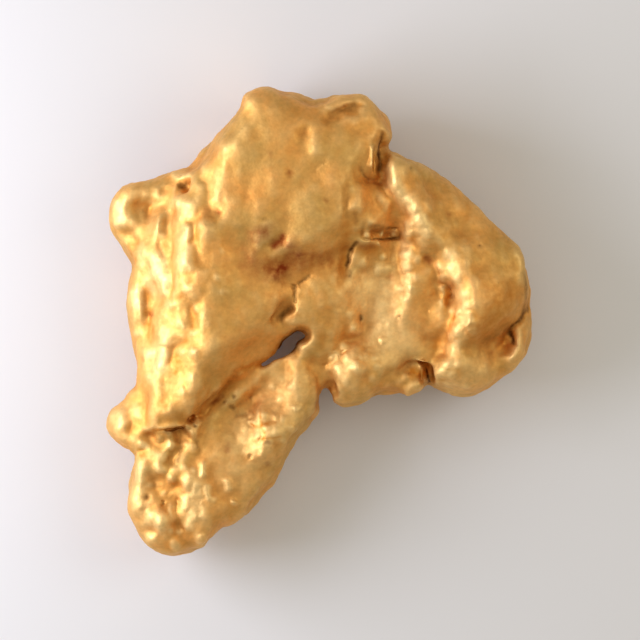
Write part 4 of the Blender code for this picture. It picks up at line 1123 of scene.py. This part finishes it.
def worn_native_gold():
    """Native gold, tumbled in a river: a satin metal, soft rather than mirror bright. Its swells
    are rubbed paler and carry painted highlight. Its hollows and creases take painted shade, in a
    deeper and a warmer gold and in dark brown, along with real dirt and a rust-brown stain. It
    turns olive in patches. Fine pits and grain break up its gloss."""
    material = bpy.data.materials.new("native gold, river worn")
    material.use_nodes = True
    tree = material.node_tree
    tree.nodes.clear()
    where = tree.nodes.new("ShaderNodeTexCoord").outputs["Object"]
    laid = {
        name: add_node(
            tree, "ShaderNodeAttribute", {"attribute_type": "GEOMETRY", "attribute_name": name}
        ).outputs["Fac"]
        for name in ("hollow", "rubbed", "warm_shade", "rust", "dirt_and_shade")
    }
    pattern = {
        name: add_node(
            tree,
            "ShaderNodeTexNoise",
            None,
            {"Vector": where, "Scale": 1 / (size * MM), "Detail": detail},
        ).outputs[0]
        for name, size, detail in (
            ("patches", PATCH_SIZE, 3.0),
            ("mottles", MOTTLE_SIZE, 2.0),
            ("speckle", SPECKLE_SIZE, 3.0),
            ("pitting", PITTING_SIZE, 1.0),
            ("grain", GRAIN_SIZE, 2.0),
        )
    }
    share = {
        name: add_node(
            tree,
            "ShaderNodeMapRange",
            None,
            {
                "Value": value,
                "From Min": levels[0],
                "From Max": levels[1],
                "To Min": shares[0],
                "To Max": shares[1],
            },
        ).outputs[0]
        for name, value, levels, shares in (
            ("patches", pattern["patches"], PATCH_EDGE, (0.0, 1.0)),
            ("proud_and_lit", laid["hollow"], (0.0, PROUDEST), (0.0, PROUD_SHARE)),
            ("hollow_shade", laid["hollow"], (0.0, DEEPEST), (0.0, HOLLOW_SHADE_SHARE)),
            ("speckle", pattern["speckle"], NOISE_LEVELS, SPECKLE_SHADES),
            ("mottles", pattern["mottles"], NOISE_LEVELS, MOTTLE_SHARES),
            ("roughness", pattern["mottles"], NOISE_LEVELS, ROUGHNESS),
        )
    }
    colour = linear(GOLD_OLIVE)
    # The pale gold is rubbed wear and painted highlight; the deeper gold in the hollows is painted
    # shade.
    for factor, tint in (
        (share["patches"], GOLD),
        (share["proud_and_lit"], GOLD_PALE_AND_LIT),
        (laid["rubbed"], GOLD_PALE_AND_LIT),
        (share["hollow_shade"], GOLD_HOLLOW_SHADE),
    ):
        colour = add_node(
            tree,
            "ShaderNodeMix",
            {"data_type": "RGBA"},
            {"Factor": factor, 6: colour, 7: linear(tint)},
        ).outputs[2]
    colour = add_node(
        tree, "ShaderNodeVectorMath", {"operation": "SCALE"}, {0: colour, "Scale": share["speckle"]}
    ).outputs[0]
    # The warm gold is painted shade, the dark brown is dirt and painted shade, and the rust is a
    # real stain.
    for stain, tint in (("warm_shade", GOLD_WARM_SHADE), ("rust", RUST), ("dirt_and_shade", DIRT_AND_SHADE)):
        patchy = add_node(
            tree,
            "ShaderNodeMath",
            {"operation": "MULTIPLY", "use_clamp": True},
            {0: laid[stain], 1: share["mottles"]},
        ).outputs[0]
        colour = add_node(
            tree,
            "ShaderNodeMix",
            {"data_type": "RGBA"},
            {"Factor": patchy, 6: colour, 7: linear(tint)},
        ).outputs[2]
    pitted = add_node(
        tree,
        "ShaderNodeBump",
        None,
        {"Height": pattern["pitting"], "Distance": PITTING_RISE * MM, "Strength": 1.0},
    ).outputs[0]
    grained = add_node(
        tree,
        "ShaderNodeBump",
        None,
        {
            "Height": pattern["grain"],
            "Distance": GRAIN_RISE * MM,
            "Strength": 1.0,
            "Normal": pitted,
        },
    ).outputs[0]
    metal = add_node(
        tree,
        "ShaderNodeBsdfPrincipled",
        None,
        {
            "Base Color": colour,
            "Metallic": 1.0,
            "Roughness": share["roughness"],
            "Normal": grained,
        },
    ).outputs[0]
    add_node(tree, "ShaderNodeOutputMaterial", None, {"Surface": metal})
    return material


def nugget(solid):
    """The whole nugget: the solid's skin, made finer, worked and dressed."""
    material = worn_native_gold()
    skin = fine_skin(solid)
    work_sides(skin.data)
    work_marks(skin.data, fine=False)
    soften(skin)
    work_beads(skin.data)
    lay_zones(skin.data)
    wear(skin, material)
    lighten(skin)
    refine(skin.data)
    work_marks(skin.data, fine=True)
    rubbed_beads = [
        (reach, min(1.0, RUBBED_AND_LIT_SHARE * height / RUBBED_AND_LIT_RISE), *line)
        for reach, height, *line in BEADS
    ]
    # The warm list is painted shade, the dirt list dirt and painted shade, the rubbed list wear and
    # painted highlight; the rust list is a real stain.
    for name, strokes in (
        ("rust", RUST_STAINS),
        ("dirt_and_shade", DIRT_AND_SHADE_STAINS),
        ("warm_shade", WARM_SHADE_PLACES),
        ("rubbed", [*rubbed_beads, *RUBBED_AND_LIT_PLACES]),
    ):
        lay_stain(skin.data, name, strokes)
    place(skin.data, positions(skin.data) * MM)
    skin.data.shade_smooth()
    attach(skin, "root")
    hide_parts("nugget")


def matt_paper():
    """Uncoated paper: matt and nearly white, so that it shows soft shadows and no gloss."""
    paper = bpy.data.materials.new("pale paper, matt")
    paper.use_nodes = True
    surface = paper.node_tree.nodes["Principled BSDF"]
    surface.inputs["Base Color"].default_value = linear(PAPER)
    surface.inputs["Roughness"].default_value = PAPER_ROUGHNESS
    return paper


def soft_light(name, spot, size, power, colour):
    """A square soft light that faces the nugget."""
    light = bpy.data.lights.new(name, "AREA")
    light.size = size * MM
    light.energy = power * MM * MM
    light.color = colour
    lamp = bpy.data.objects.new(name, light)
    lamp.location = Vector(spot) * MM
    lamp.rotation_mode = "QUATERNION"
    lamp.rotation_quaternion = (-Vector(spot)).to_track_quat("-Z", "Y")
    bpy.context.scene.collection.objects.link(lamp)


def studio():
    """A pale floor, a low soft light from the left, a weaker one from the right, and pale
    surroundings."""
    shape = bmesh.new()
    bmesh.ops.create_grid(shape, x_segments=1, y_segments=1, size=FLOOR_REACH * MM)
    mesh = bpy.data.meshes.new("floor")
    shape.to_mesh(mesh)
    shape.free()
    mesh.materials.append(matt_paper())
    floor = bpy.data.objects.new("floor", mesh)
    bpy.context.scene.collection.objects.link(floor)
    for light in LIGHTS:
        soft_light(*light)
    world = bpy.data.worlds.new("surroundings")
    bpy.context.scene.world = world
    world.use_nodes = True
    glow = world.node_tree.nodes["Background"].inputs
    glow["Color"].default_value = SURROUNDINGS
    glow["Strength"].default_value = SURROUNDINGS_STRENGTH


def camera():
    """Looks straight down on the nugget, from far away."""
    lens = bpy.data.cameras.new("from above")
    lens.lens = LENS
    lens.sensor_width = SENSOR_WIDTH
    lens.clip_start, lens.clip_end = (depth * MM for depth in VIEW_DEPTH)
    seen_from = bpy.data.objects.new("from above", lens)
    distance = VIEW_WIDTH * LENS / SENSOR_WIDTH
    seen_from.location = (Vector(VIEW_CENTRE) + Vector((0, 0, distance))) * MM
    bpy.context.scene.collection.objects.link(seen_from)
    bpy.context.scene.camera = seen_from


def main():
    """Dresses the frame."""
    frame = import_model()
    noise.seed_set(WANDER_SEED)
    nugget(frame["nodes"]["nugget"])
    studio()
    camera()
    bpy.context.scene.view_settings.view_transform = "Standard"


main()
